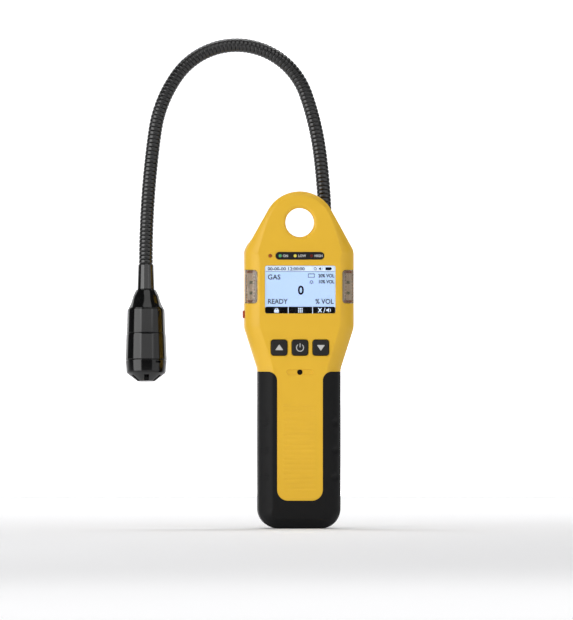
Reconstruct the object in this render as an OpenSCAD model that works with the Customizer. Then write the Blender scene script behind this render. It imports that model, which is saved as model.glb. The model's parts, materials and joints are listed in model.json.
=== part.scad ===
// Portable gas detector: a hand-held housing with a gooseneck that carries a remote sensor head.
// The origin is the centre of the hanging loop's hole; +Z is up along the housing and -Y is its front.

/* [Housing] */
// Height of the housing from its flat base to the top of the loop
body_h = 216; // [200:1:232]
// Width across the display section
head_w = 69.8; // [68:0.2:74]
// Width across the grip
grip_w = 52.8; // [52:0.2:56]
// Depth of the housing, front to back
body_d = 36; // [36:1:42]
// Wall thickness of the two shells
wall = 2.2; // [1.8:0.1:2.6]
// Thickness of the moulded-on rubber over the grip
rubber_t = 1.6; // [1.2:0.1:2]

/* [Hanging loop] */
// Diameter of the hole that a hook or strap goes through
loop_hole_d = 18.4; // [16:0.2:20]
// Outer diameter of the rounded top of the loop
loop_d = 46; // [44:1:50]
// Thickness of the loop plate
loop_t = 11; // [8:0.5:12]

/* [Display] */
// Width of the display window
window_w = 45.2; // [40:0.2:46]
// Height of the display window
window_h = 30.6; // [26:0.2:32]
// Length of the dark indicator strip above the window
strip_w = 31.2; // [28:0.2:34]
// Height of the indicator strip
strip_h = 4.8; // [4.4:0.1:5.2]

/* [Keys] */
// Width of each front key
key_w = 10.2; // [9:0.1:10.6]
// Height of each front key
key_h = 9.9; // [9:0.1:10.6]
// Distance from one key's centre to the next
key_pitch = 13.35; // [12.6:0.05:13.6]
// Play between a key and the edge of its opening, on each side
key_play = 0.25; // [0.2:0.05:0.4]

/* [Gooseneck] */
// Outer diameter of the gooseneck
neck_d = 9; // [8.6:0.1:9.6]
// Backward lean of the plane that the arch lies in, in degrees
neck_lean = 4.5; // [0:0.5:6]
// Radius of the balls inside the neck's bending places
ball_r = 3.7; // [3.5:0.05:3.8]
// Radial play between a ball and its cup
ball_play = 0.12; // [0.1:0.01:0.15]

/* [Sensor head] */
// Diameter of the upper barrel at its foot
barrel_d = 24.9; // [24:0.1:26]
// Largest diameter of the sensor housing
sensor_d = 26.5; // [26:0.1:28]
// Wall of the barrel and the sensor housing
head_wall = 1.8; // [1.5:0.1:2.2]

/* [Hidden] */
$fn = 64;
eps = 0.01;
half_d = body_d / 2;
head_hw = head_w / 2;
grip_hw = grip_w / 2;
rubber_top = 100.6;
tongue_hw = 14.6;
tongue_bottom = 18;
tongue_r = 7;
loop_z = body_h - loop_d / 2;
hole_z = loop_z + 3;
plate_mid_y = loop_t / 2 - half_d;
shoulder_z = 184.8;
flank_angle = 29.4;
loop_foot_z = 181.5;

window_x = 0.2;
window_z = 153.1;
strip_z = 174.7;
led_x = [-12.7, -3.1, 7.4];
charge_x = -19;
key_z = 115.9;
buzzer_z = 100.2;
lens_z0 = 144.3;
lens_h = 21.3;
lens_x = 27.3;
lens_y0 = -3;
side_z = 137.2;
side_y = -4.6;
board_y = -8;
cell_r = 9.1;
cell_x = 9.5;
cell_y = 4;
holder_hw = 12;
board_t = 1.6;
seal_t = 0.8;

// Screws on one side, mirrored on the other: x, z and the length of the boss in the front shell
screw_spots = [[28.3, 172.3, 11.8], [19, 88, 10], [13, 8.4, 14.4]];
screw_r = 1.25;

// Gooseneck: heading at each bending place (degrees from straight up) and the radius between them
neck_x = 17.4;
neck_y = 8;
neck_z = 186;
neck_a = [0, 6.8, 19.2, 84, 144.7, 171.9, 176, 180];
neck_r = [453, 187, 47, 47, 81.7, 610, 610];
neck_count = len(neck_r);
neck_bore_r = 1.5;
cable_r = 1.1;
cup_r = ball_r + ball_play;
joint_gap = 2.9;
neck_tail = 12;
neck_root = 14;
step = 0.06;

// Sensor head: distances down its axis from the top of the ferrule
ferrule_l = 16;
collar_l = 12.4;
barrel_l = 15.7;
sensor_l = 17.1;
cap_l = 13.6;
collar_at = ferrule_l + 0.3;
barrel_at = collar_at + collar_l;
sensor_at = barrel_at + barrel_l;
cap_at = sensor_at + sensor_l;

yellow = [0.89, 0.70, 0.25];
black = [0.12, 0.12, 0.12];
gloss = [0.05, 0.05, 0.06];
lens_grey = [0.68, 0.63, 0.57];
steel = [0.72, 0.73, 0.75];
pcb = [0.10, 0.38, 0.20];

// ---------- placing ----------

// Housing coordinates stand on the base; this moves them so that the loop's hole is the origin
module placed() translate([0, -plate_mid_y, -hole_z]) children();

// Draws a flat shape, given in X and Z, as a slab from y0 back to y1
module slab(y0, y1) translate([0, y1, 0]) rotate([90, 0, 0]) linear_extrude(y1 - y0) children();

module box(x0, x1, y0, y1, z0, z1) translate([x0, y0, z0]) cube([x1 - x0, y1 - y0, z1 - z0]);

// A cylinder along Y, from y0 back to y1
module rod_y(x, z, y0, y1, r) translate([x, y1, z]) rotate([90, 0, 0]) cylinder(r = r, h = y1 - y0);

module rounded_rect(w, h, r) {
  translate([r - w / 2, -h / 2]) square([w - 2 * r, h]);
  translate([-w / 2, r - h / 2]) square([w, h - 2 * r]);
  for (sx = [-1, 1], sz = [-1, 1])
    translate([sx * (w / 2 - r), sz * (h / 2 - r)]) circle(r, $fn = 32);
}

module at_screws() for (s = screw_spots, side = [-1, 1]) translate([side * s[0], 0, s[1]]) children();

module front_bosses() for (s = screw_spots, side = [-1, 1]) rod_y(side * s[0], s[1], -s[2], 0, 3);

// ---------- housing outline ----------

// Each row: height, half width, half width of the flat front, half depth
function head_rows() = [
  [rubber_top, grip_hw + 0.2, 18, half_d],
  [120, head_hw - 2.8, 23, half_d],
  [127, head_hw - 0.6, 25, half_d],
  [131, head_hw, 25.5, half_d],
  [174, head_hw, 25.5, half_d],
  [178, head_hw - 1, 25.5, half_d],
  [182, head_hw - 2.9, 24.5, half_d - 0.6],
  [shoulder_z, head_hw - 4.1, 23.5, half_d - 1.6]
];
function grip_rows() = [
  [0, grip_hw - 9, 12, half_d - 4],
  [3, grip_hw - 4.7, 14.5, half_d - 1.8],
  [5.6, grip_hw - 2.2, 16, half_d - 0.8],
  [12, grip_hw, 16.8, half_d],
  [rubber_top + 1, grip_hw, 16.8, half_d]
];

// One level of the housing: an octagon with its corners cut back, inset by t
module level(row, t) {
  w = row[1] - t;
  f = row[2] - t * 0.4;
  d = row[3] - t;
  s = d - 9;
  translate([0, 0, row[0]])
    linear_extrude(eps)
      polygon([[-f, -d], [f, -d], [w, -s], [w, s], [f, d], [-f, d], [-w, s], [-w, -s]]);
}

// Smooth solid through the given levels; t insets it all round, z0 and z1 trim its ends
module hull_of(rows, t = 0, z0 = -1, z1 = 999) {
  intersection() {
    hull() for (row = rows) level(row, t);
    box(-50, 50, -50, 50, z0, z1);
  }
}

// One layer of the loop plate, inset by t: its round top and the foot that its flanks run down to
module loop_layer(y0, y1, t) {
  foot = loop_d / 2 / cos(flank_angle) + (loop_z - loop_foot_z) * tan(flank_angle) - t;
  rod_y(0, loop_z, y0, y1, loop_d / 2 - t, $fn = 48);
  box(-foot, foot, y0, y1, 172, loop_foot_z);
}

module loop_plate() {
  back = loop_t - half_d;
  hull() {
    loop_layer(-half_d, -half_d + 0.2, 2.6);
    loop_layer(-half_d + 2.4, back - 1.6, 0);
    loop_layer(back - 0.2, back, 1.6);
  }
}

module loop_hole() {
  rod_y(0, hole_z, -half_d - 1, loop_t - half_d + 1, loop_hole_d / 2);
  translate([0, -half_d - eps, hole_z]) rotate([-90, 0, 0]) cylinder(r1 = loop_hole_d / 2 + 1.6, r2 = loop_hole_d / 2, h = 1.6);
  translate([0, loop_t - half_d + eps, hole_z]) rotate([90, 0, 0]) cylinder(r1 = loop_hole_d / 2 + 1.2, r2 = loop_hole_d / 2, h = 1.2);
}

// Front face of the yellow tongue that runs down the grip, flaring out under the keys
module tongue_outline() {
  r = 5.8;
  difference() {
    union() {
      translate([-tongue_hw, tongue_bottom + tongue_r]) square([2 * tongue_hw, rubber_top - tongue_bottom - tongue_r]);
      translate([tongue_r - tongue_hw, tongue_bottom]) square([2 * (tongue_hw - tongue_r), tongue_r + 1]);
      for (side = [-1, 1]) translate([side * (tongue_hw - tongue_r), tongue_bottom + tongue_r]) circle(tongue_r);
      translate([-tongue_hw - r, rubber_top - r]) square([2 * (tongue_hw + r), r]);
    }
    for (side = [-1, 1]) translate([side * (tongue_hw + r), rubber_top - r]) circle(r);
  }
}

// Wall outline at the joint face between the shells, inset by t
module joint_outline(t) {
  rows_h = head_rows();
  rows_g = grip_rows();
  right = concat(
    [for (i = [0:3]) [rows_g[i][1] - rubber_t - t, max(rows_g[i][0], t + rubber_t * 0.6)]],
    [[grip_hw - rubber_t - t, rubber_top - 1]],
    [for (i = [1:6]) [rows_h[i][1] - t, rows_h[i][0]]],
    [[rows_h[7][1] - t, shoulder_z - t]]
  );
  count = len(right);
  polygon(concat(right, [for (i = [1:count]) [-right[count - i][0], right[count - i][1]]]));
}

module seal_ring(y0, y1) slab(y0, y1) difference() {
  joint_outline(0.7);
  joint_outline(1.5);
}

// Everything inside the walls: display section and grip
module cavity() {
  hull_of(head_rows(), wall, rubber_top - 8, shoulder_z - 4);
  hull_of(grip_rows(), wall + rubber_t, wall + rubber_t * 0.6, rubber_top + 5);
}

module head_outer() hull_of(head_rows(), 0, rubber_top, shoulder_z);

module grip_core() hull_of(grip_rows(), rubber_t, rubber_t * 0.6, rubber_top + 1);

// ---------- gooseneck geometry ----------

// Plane of the arch: local x to the right, local y up along the neck
module arch_plane() placed() translate([neck_x, neck_y, neck_z]) rotate([90 - neck_lean, 0, 0]) children();

function neck_point(i) =
  i == 0 ? [0, 0] : neck_centre(i - 1) + neck_r[i - 1] * [cos(neck_a[i]), sin(neck_a[i])];
function neck_centre(i) = neck_point(i) - neck_r[i] * [cos(neck_a[i]), sin(neck_a[i])];

// Angle that a distance along section i stands for
function arc_angle(i, dist) = dist / neck_r[i] * 180 / PI;

// Tube of radius r along section i, trimmed by the given distances at its two ends
module neck_arc(i, r, trim0, trim1) {
  a0 = neck_a[i] + arc_angle(i, trim0);
  a1 = neck_a[i + 1] - arc_angle(i, trim1);
  translate(neck_centre(i))
    rotate([0, 0, a0])
      rotate_extrude(angle = a1 - a0, $fn = 180)
        translate([neck_r[i], 0])
          circle(r, $fn = 32);
}

module at_neck_point(i) translate(neck_point(i)) rotate([0, 0, neck_a[i]]) children();

// A straight piece of tube along the neck's heading, from y0 to y1
module neck_straight(i, r, y0, y1) at_neck_point(i) translate([0, y0, 0]) rotate([-90, 0, 0]) cylinder(r = r, h = y1 - y0);

// Section i of the gooseneck: a cup at its lower end takes the last section's ball.
// Straight pieces and bores are a step smaller or larger than the arcs that they run into.
module neck_section(i) {
  first = i == 0;
  last = i == neck_count - 1;
  difference() {
    union() {
      neck_arc(i, neck_d / 2, 0, last ? 0 : joint_gap);
      if (first) neck_straight(0, neck_d / 2 - step, -neck_root, 0.5);
      if (last) neck_straight(neck_count, neck_d / 2 - step, -0.5, neck_tail);
      if (!last) at_neck_point(i + 1) rotate([90, 0, 0]) sphere(ball_r);
    }
    neck_arc(i, neck_bore_r, 0, 0);
    if (first) neck_straight(0, neck_bore_r + step, -neck_root - 1, 0.5);
    if (last) neck_straight(neck_count, neck_bore_r + step, -0.5, neck_tail + 1);
    if (!last) neck_straight(i + 1, neck_bore_r + step, -0.5, ball_r + 1);
    if (!first) at_neck_point(i) rotate([90, 0, 0]) sphere(cup_r);
  }
}

// The signal cable's run through section i; it ends inside the ball and starts again past the cup
module sensor_cable(i) {
  first = i == 0;
  last = i == neck_count - 1;
  neck_arc(i, cable_r, first ? 0 : cup_r + 0.1, 0);
  if (first) neck_straight(0, cable_r + step, -neck_root - 12, 0.5);
  if (last) neck_straight(neck_count, cable_r + step, -0.5, neck_tail + 18);
  if (!last) neck_straight(i + 1, cable_r + step, -0.5, ball_r - 0.6);
}

// Sensor head axis: local z runs down the head from the top of the ferrule
module head_axis() arch_plane() at_neck_point(neck_count) rotate([-90, 0, 0]) children();

module turned() rotate_extrude($fn = 96) children();

// ---------- housing ----------

module window_cut() {
  slab(-half_d - 1, -half_d + 1.6) translate([window_x, window_z]) rounded_rect(window_w, window_h, 1.3);
  slab(-half_d - 1, -half_d + wall + 1) translate([window_x, window_z]) rounded_rect(window_w - 2.4, window_h - 2.4, 0.8);
}

module lens_outline(play) {
  x1 = head_hw + 3;
  x0 = lens_x - play;
  translate([(x0 + x1) / 2, lens_z0 + lens_h / 2]) rounded_rect(x1 - x0, lens_h + 2 * play, 2.2);
}

module lens_cut(side, play) mirror([side < 0 ? 1 : 0, 0, 0]) slab(-half_d - 1, lens_y0 + play) lens_outline(play);

module key_cut(x) {
  slab(-half_d - 1, -half_d + wall + 1) translate([x, key_z]) rounded_rect(key_w + 2 * key_play, key_h + 2 * key_play, 1.7 + key_play);
}

module side_cut() translate([-head_hw - 2, side_y, side_z]) rotate([90, 0, 90]) linear_extrude(6) rounded_rect(6.5, 5.4, 1.4);

module front_shell() color(yellow) placed() {
  difference() {
    union() {
      difference() {
        union() {
          intersection() {
            union() {
              head_outer();
              grip_core();
              intersection() {
                slab(-half_d, -half_d + 6) tongue_outline();
                box(-30, 30, -half_d, 0, 0, rubber_top + 1);
              }
            }
            box(-50, 50, -50, 0, -1, body_h);
          }
          loop_plate();
        }
        cavity();
      }
      front_bosses();
    }
    loop_hole();
    window_cut();
    slab(-half_d - 1, -half_d + 1) translate([0, strip_z]) rounded_rect(strip_w + 0.2, strip_h + 0.2, strip_h / 2);
    for (x = led_x) rod_y(x, strip_z, -half_d - 1, -half_d + wall + 1, 1.05);
    rod_y(charge_x, strip_z, -half_d - 1, -half_d + wall + 1, 1.25);
    for (side = [-1, 1]) lens_cut(side, 0.1);
    for (k = [-1:1]) key_cut(k * key_pitch);
    slab(-half_d - 1, -half_d + 0.6) translate([0, buzzer_z]) rounded_rect(16.5, 3.2, 1.5);
    rod_y(0, buzzer_z, -half_d - 1, -half_d + wall + 1, 1.75);
    side_cut();
    seal_ring(-seal_t, 1);
    at_screws() translate([0, 1, 0]) rotate([90, 0, 0]) cylinder(r = screw_r + 0.05, h = 10.2);
  }
}

module gland_hole() at_gland() {
  translate([0, 0, -16]) cylinder(r = 6.2, h = 20);
  translate([0, 0, -1.4]) cylinder(r = 8.2, h = 8);
  translate([0, 0, -12.4]) cylinder(r = 10, h = 7);
}

module at_gland() translate([neck_x, neck_y, neck_z]) rotate([-neck_lean, 0, 0]) children();

module rear_shell() color(yellow) placed() {
  difference() {
    union() {
      difference() {
        intersection() {
          union() {
            head_outer();
            grip_core();
          }
          box(-50, 50, 0, 50, -1, shoulder_z);
        }
        cavity();
      }
      at_screws() rotate([-90, 0, 0]) cylinder(r = 3.2, h = half_d - wall);
    }
    gland_hole();
    at_screws() translate([0, -1, 0]) rotate([-90, 0, 0]) cylinder(r = 1.6, h = 30);
    at_screws() translate([0, half_d - 6, 0]) rotate([-90, 0, 0]) cylinder(r = 2.9, h = 20);
    box(-6.2, 6.2, 3.4, 10.6, -1, 2.4);
    box(-4.5, 4.5, 5.2, 8.8, 0, 5);
  }
}

module housing_seal() color(gloss) placed() seal_ring(-seal_t, 0);

module grip_skin() {
  difference() {
    hull_of(grip_rows(), 0, 0, rubber_top);
    grip_core();
  }
}

module front_grip() color(black) placed() {
  difference() {
    intersection() {
      grip_skin();
      box(-50, 50, -50, 0, -1, rubber_top);
    }
    slab(-half_d - 1, -half_d + 8) tongue_outline();
  }
}

module rear_grip() color(black) placed() {
  difference() {
    intersection() {
      grip_skin();
      box(-50, 50, 0, 50, -1, rubber_top);
    }
    at_screws() rotate([-90, 0, 0]) cylinder(r = 3.2, h = 40);
    box(-6.2, 6.2, 3.4, 10.6, -1, 3);
  }
}

module housing_screws() color(steel) placed() at_screws() rotate([-90, 0, 0]) {
  difference() {
    translate([0, 0, half_d - 6]) cylinder(r = 2.6, h = 2.2);
    translate([0, 0, half_d - 5]) cylinder(r = 1.3, h = 3, $fn = 6);
  }
  translate([0, 0, -8.8]) cylinder(r = screw_r, h = half_d + 2.8 + eps);
}

// ---------- display and indicators ----------

module display_window() color([0.80, 0.90, 0.97, 0.5]) placed()
  slab(-half_d + 0.1, -half_d + 1.6) translate([window_x, window_z]) rounded_rect(window_w - 0.1, window_h - 0.1, 1.25);

module lcd_panel() color([0.76, 0.87, 0.97]) placed()
  box(window_x - 22, window_x + 22, -half_d + wall + 0.1, -half_d + wall + 1.9, window_z - 15, window_z + 15);

module lcd_backlight() color([0.93, 0.95, 0.97]) placed()
  box(window_x - 22, window_x + 22, -half_d + wall + 1.9, board_y, window_z - 15, window_z + 15);

module indicator_strip() color(black) placed() difference() {
  slab(-half_d - 0.05, -half_d + 1) translate([0, strip_z]) rounded_rect(strip_w, strip_h, strip_h / 2 - 0.1);
  for (x = led_x) rod_y(x, strip_z, -half_d - 1, -half_d + 2, 1.05);
}

module indicator(x, r) placed() {
  rod_y(x, strip_z, -half_d - 0.15, -half_d + 4, r);
  rod_y(x, strip_z, -half_d + 3.9, board_y, r + 0.6);
}

module led_green() color([0.25, 0.75, 0.35]) indicator(led_x[0], 0.95);
module led_yellow() color([0.95, 0.80, 0.20]) indicator(led_x[1], 0.95);
module led_red() color([0.60, 0.10, 0.10]) indicator(led_x[2], 0.95);
module charge_light() color([0.70, 0.25, 0.10]) indicator(charge_x, 1.15);

module alarm_lens(side) color(lens_grey) placed() {
  intersection() {
    difference() {
      head_outer();
      cavity();
    }
    lens_cut(side, 0);
  }
}

module left_alarm_lens() alarm_lens(-1);
module right_alarm_lens() alarm_lens(1);

module alarm_leds() color([0.92, 0.92, 0.88]) placed() for (side = [-1, 1]) {
  difference() {
    box(side * 28.7 - 1.1, side * 28.7 + 1.1, -8.9, -3.4, lens_z0 + 1.4, lens_z0 + lens_h - 1.4);
    for (k = [0:5]) box(side * 30.3 - 1, side * 30.3 + 1, -10, -3, lens_z0 + 4 + k * 2.6, lens_z0 + 5 + k * 2.6);
  }
}

// ---------- keys ----------

// A key: cap in its opening, a flange behind the wall and a post that reaches for its switch
module front_key(k) color(black) placed() {
  x = k * key_pitch;
  slab(-half_d - 0.9, -half_d + wall + 0.2) translate([x, key_z]) rounded_rect(key_w, key_h, 1.7);
  slab(-half_d + wall + 0.1, -half_d + wall + 0.9) translate([x, key_z]) rounded_rect(key_w + 1, key_h + 1, 1.2);
  rod_y(x, key_z, -half_d + wall + 0.8, board_y - 3.8, 1.6);
}

module up_key() front_key(-1);
module power_key() front_key(0);
module down_key() front_key(1);

module key_web() color([0.20, 0.20, 0.21]) placed() difference() {
  slab(-half_d + wall + 0.05, -half_d + wall + 0.85) translate([0, key_z]) rounded_rect(39.8, 12.8, 2.2);
  for (k = [-1:1]) slab(-half_d, -half_d + 6) translate([k * key_pitch, key_z]) rounded_rect(key_w + 1.4, key_h + 1.4, 1.4);
}

module key_switches() color([0.25, 0.25, 0.27]) placed() for (k = [-1:1]) {
  box(k * key_pitch - 3, k * key_pitch + 3, board_y - 2, board_y, key_z - 3, key_z + 3);
  rod_y(k * key_pitch, key_z, board_y - 3, board_y - 1.9, 1.4);
}

module side_button() color([0.55, 0.18, 0.06]) placed() {
  translate([-head_hw - 1.3, side_y, side_z]) rotate([90, 0, 90]) linear_extrude(1.3 + wall + 0.2) rounded_rect(6, 5, 1.2);
  translate([-head_hw + wall + 0.1, side_y + 0.65, side_z]) rotate([90, 0, 90]) linear_extrude(0.8) rounded_rect(5.5, 5.8, 1);
}

module side_switch() color([0.25, 0.25, 0.27]) placed() {
  box(-29.6, -23, board_y + board_t, board_y + board_t + 4, side_z - 3, side_z + 3);
  translate([-31, side_y, side_z]) rotate([0, 90, 0]) cylinder(r = 1.1, h = 1.5);
}

// ---------- inside ----------

module main_board() color(pcb) placed() slab(board_y, board_y + board_t) difference() {
  union() {
    translate([-24, 108]) square([48, 66]);
    translate([-15.5, 84]) square([31, 26]);
  }
  for (side = [-1, 1]) translate([side * 20, 112]) circle(1.2);
}

module battery_cells() color([0.20, 0.45, 0.70]) placed() for (side = [-1, 1]) {
  translate([side * cell_x, cell_y, 14]) cylinder(r = cell_r, h = 64);
  translate([side * cell_x, cell_y, 78 - eps]) cylinder(r = 3, h = 1.2);
}

module battery_holder() color([0.16, 0.16, 0.17]) placed() difference() {
  box(-holder_hw, holder_hw, cell_y + 1, half_d - wall - rubber_t - 0.2, 12.4, 80.6);
  for (side = [-1, 1]) translate([side * cell_x, cell_y, 13.9]) cylinder(r = cell_r + 0.1, h = 65.4);
}

module buzzer() color(gloss) placed() difference() {
  rod_y(0, buzzer_z, -half_d + wall + rubber_t + 0.1, board_y, 6);
  rod_y(0, buzzer_z, -half_d, -half_d + wall + rubber_t + 1.4, 2);
}

module vibration_motor() color(steel) placed() rod_y(-8, 96, board_y + board_t, board_y + board_t + 3, 5);

module charge_socket() color(steel) placed() difference() {
  box(-4.4, 4.4, 5.3, 8.7, 4, 11.4);
  box(-3.9, 3.9, 5.8, 8.2, 3, 10.6);
}

// A soft plug that seals the charging socket, flush with the base
module charge_port_plug() color(black) placed() {
  box(-6, 6, 3.6, 10.4, 0.1, 2.3);
  box(-3.5, 3.5, 6.1, 7.9, 2.2, 7);
}

// ---------- gooseneck and gland ----------

module neck_gland() color(gloss) placed() at_gland() difference() {
  union() {
    translate([0, 0, -1.4]) cylinder(r = 7.4, h = 4);
    translate([0, 0, 2.6 - eps]) cylinder(r1 = 7.4, r2 = 5.8, h = 3.4);
    translate([0, 0, -13.6]) cylinder(r = 6, h = 12.3);
  }
  translate([0, 0, -15]) cylinder(r = neck_d / 2 + 0.1, h = 24);
}

module gland_nut() color(steel) placed() at_gland() translate([0, 0, -9.6]) difference() {
  cylinder(r = 8.4, h = 4.1, $fn = 6);
  translate([0, 0, -1]) cylinder(r = 6, h = 8);
}

module gland_seal() color(gloss) placed() at_gland() translate([0, 0, -5.4]) difference() {
  cylinder(r = 6.18, h = 4);
  translate([0, 0, -1]) cylinder(r = 6.01, h = 8);
}

module neck_part(i) color(gloss) arch_plane() neck_section(i);
module cable_part(i) color([0.35, 0.35, 0.37]) arch_plane() sensor_cable(i);

module neck_section_1() neck_part(0);
module neck_section_2() neck_part(1);
module neck_section_3() neck_part(2);
module neck_section_4() neck_part(3);
module neck_section_5() neck_part(4);
module neck_section_6() neck_part(5);
module neck_section_7() neck_part(6);
module sensor_cable_1() cable_part(0);
module sensor_cable_2() cable_part(1);
module sensor_cable_3() cable_part(2);
module sensor_cable_4() cable_part(3);
module sensor_cable_5() cable_part(4);
module sensor_cable_6() cable_part(5);
module sensor_cable_7() cable_part(6);

// ---------- sensor head ----------

module neck_ferrule() color([0.20, 0.20, 0.21]) head_axis() turned() polygon([
  [neck_d / 2, 0.4], [4.9, 0], [5.05, 4], [5.55, ferrule_l], [5.55, ferrule_l + 2.3],
  [2, ferrule_l + 2.3], [2, neck_tail + 0.1], [neck_d / 2, neck_tail + 0.1]
]);

module head_collar() color(gloss) head_axis() turned() polygon([
  [5.6, collar_at], [6.2, collar_at], [7.3, collar_at + 2], [8.3, collar_at + 4.1], [9.4, collar_at + 8.2],
  [10.6, collar_at + 10.9], [11.3, collar_at + 12], [11.3, barrel_at], [9.4, barrel_at], [9.4, barrel_at + 3],
  [7.6, barrel_at + 3], [7.6, barrel_at - 4], [5.6, collar_at + 2.4]
]);

module head_barrel() color(gloss) head_axis() turned() polygon([
  [9.45, barrel_at + 0.05], [11.9, barrel_at + 0.05], [barrel_d / 2, sensor_at], [10.6, sensor_at],
  [10.6, sensor_at + 3], [8.8, sensor_at + 3], [8.8, sensor_at - 3], [9.45, sensor_at - 4]
]);

module head_seal() color([0.25, 0.25, 0.26]) head_axis() turned() polygon([
  [10.65, sensor_at + 0.4], [11.1, sensor_at + 0.4], [11.1, sensor_at + 1.9], [10.65, sensor_at + 1.9]
]);

module sensor_housing() color(gloss) head_axis() turned() polygon([
  [11.15, sensor_at + 0.05], [12.5, sensor_at + 0.05], [12.6, sensor_at + 1], [sensor_d / 2, cap_at - 0.6],
  [sensor_d / 2, cap_at], [sensor_d / 2 - head_wall, cap_at], [sensor_d / 2 - head_wall, sensor_at + 6],
  [11.15, sensor_at + 4]
]);

// Screw-on cap: slots in its cone let the air in to the filter
module sensor_cap() color(gloss) head_axis() difference() {
  turned() polygon([
    [11.4, cap_at - 3], [11.4, cap_at + 0.3], [13.15, cap_at + 0.3], [12.55, cap_at + 8.2], [5.2, cap_at + cap_l],
    [0, cap_at + cap_l], [0, cap_at + 2.6], [4.4, cap_at + 2.6], [4.4, cap_at + cap_l - 1.4], [10.9, cap_at + 7.6],
    [10.9, cap_at + 1], [10, cap_at], [10, cap_at - 3]
  ]);
  for (k = [0:5]) rotate([0, 0, k * 60 + 30]) box(5.4, 10.4, -1.1, 1.1, cap_at + 8.4, cap_at + cap_l + 1);
  rotate([0, 0, 235]) box(10, 14, -2, 2, cap_at + 1.1, cap_at + 2.4);
}

module sensor_element() color(steel) head_axis() difference() {
  translate([0, 0, sensor_at + 5]) cylinder(r = 9.8, h = 12);
  translate([0, 0, sensor_at + 16]) cylinder(r = 4, h = 3);
}

module sensor_board() color(pcb) head_axis() difference() {
  translate([0, 0, sensor_at + 3.1]) cylinder(r = 9.8, h = 1.5);
  translate([0, 0, sensor_at]) cylinder(r = 1.3, h = 8);
}

module dust_filter() color([0.85, 0.85, 0.82]) head_axis() translate([0, 0, cap_at + 1.2]) cylinder(r = 10.6, h = 1.2);

front_shell();
rear_shell();
housing_seal();
front_grip();
rear_grip();
display_window();
lcd_panel();
lcd_backlight();
indicator_strip();
led_green();
led_yellow();
led_red();
charge_light();
left_alarm_lens();
right_alarm_lens();
alarm_leds();
up_key();
power_key();
down_key();
key_web();
key_switches();
side_button();
side_switch();
main_board();
battery_cells();
battery_holder();
buzzer();
vibration_motor();
charge_socket();
charge_port_plug();
housing_screws();
neck_gland();
gland_nut();
gland_seal();
neck_section_1();
neck_section_2();
neck_section_3();
neck_section_4();
neck_section_5();
neck_section_6();
neck_section_7();
sensor_cable_1();
sensor_cable_2();
sensor_cable_3();
sensor_cable_4();
sensor_cable_5();
sensor_cable_6();
sensor_cable_7();
neck_ferrule();
head_collar();
head_barrel();
sensor_housing();
sensor_cap();
head_seal();
sensor_element();
sensor_board();
dust_filter();
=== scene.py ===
# %% [markdown]
# # A portable gas detector with a gooseneck sensor head
#
# The real object is a hand-held housing moulded in two yellow halves, with black rubber moulded over
# the grip, a colour display behind a clear window, three rubber keys, a lamp strip and two wrap-round
# alarm lenses. A black ribbed gooseneck leaves the back of the housing and arches over to a sensor
# head. This lesson builds each visible piece over a finished design model, which gives every size.

# %% Load the design model
import json
import math
import bmesh
import bpy
from mathutils import Matrix, Vector
from mathutils.geometry import delaunay_2d_cdt


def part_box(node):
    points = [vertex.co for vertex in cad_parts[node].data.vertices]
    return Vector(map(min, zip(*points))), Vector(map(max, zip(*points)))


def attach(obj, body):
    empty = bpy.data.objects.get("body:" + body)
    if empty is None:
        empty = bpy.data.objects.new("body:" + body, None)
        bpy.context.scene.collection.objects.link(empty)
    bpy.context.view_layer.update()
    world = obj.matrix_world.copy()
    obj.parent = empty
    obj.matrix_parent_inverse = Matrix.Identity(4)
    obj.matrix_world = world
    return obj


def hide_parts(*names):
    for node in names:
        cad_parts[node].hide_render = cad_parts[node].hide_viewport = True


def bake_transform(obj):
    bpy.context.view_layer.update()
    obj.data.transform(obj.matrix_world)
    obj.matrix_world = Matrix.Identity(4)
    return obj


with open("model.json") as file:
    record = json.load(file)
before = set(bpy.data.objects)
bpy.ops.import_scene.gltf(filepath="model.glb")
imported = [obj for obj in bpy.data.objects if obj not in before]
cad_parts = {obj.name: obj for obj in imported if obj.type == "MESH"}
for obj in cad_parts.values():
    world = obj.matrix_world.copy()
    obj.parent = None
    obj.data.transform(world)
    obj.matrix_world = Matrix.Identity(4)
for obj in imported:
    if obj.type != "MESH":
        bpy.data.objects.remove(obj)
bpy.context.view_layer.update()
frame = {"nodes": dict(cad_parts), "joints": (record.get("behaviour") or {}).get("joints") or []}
MM = 0.001

# %% [markdown]
# ## Reference planes
#
# A maker marks out from a few planes: the flat foot, the front face, the face where the two halves
# meet, and the back. They are read from the design model here, so that every later piece is placed
# from the part that it belongs to and not from typed coordinates.

# %% Reference planes
grip_low, grip_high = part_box("front_grip")
rear_low, rear_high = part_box("rear_shell")
shell_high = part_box("front_shell")[1]
FOOT = grip_low.z
FRONT = grip_low.y
SPLIT = rear_low.y
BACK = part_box("rear_grip")[1].y
HALF_HEAD = shell_high.x
HALF_GRIP = grip_high.x
RUBBER_TOP = grip_high.z
SHOULDER = rear_high.z
LOOP_TOP = shell_high.z
print("front", round(FRONT, 4), "split", round(SPLIT, 4), "back", round(BACK, 4), "foot", round(FOOT, 4))

# %% [markdown]
# ## Small mesh helpers
#
# Almost everything here is made of three moves: a stack of matching rings joined into a skin, a
# profile turned round an axis, and a cutter taken away from a blank. Writing those once keeps each
# piece's own cell about the piece. The rings are plain lists of points, so a shape can be reasoned
# about before any face exists.

# %% Mesh helpers
def new_object(name, mesh):
    piece = bpy.data.objects.new(name, mesh)
    bpy.context.scene.collection.objects.link(piece)
    return piece


def finish_mesh(name, bm):
    bmesh.ops.remove_doubles(bm, verts=bm.verts, dist=1e-7)
    bmesh.ops.delete(bm, geom=[e for e in bm.edges if not e.link_faces], context="EDGES")
    bmesh.ops.recalc_face_normals(bm, faces=bm.faces)
    mesh = bpy.data.meshes.new(name)
    bm.to_mesh(mesh)
    bm.free()
    return new_object(name, mesh)


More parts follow.
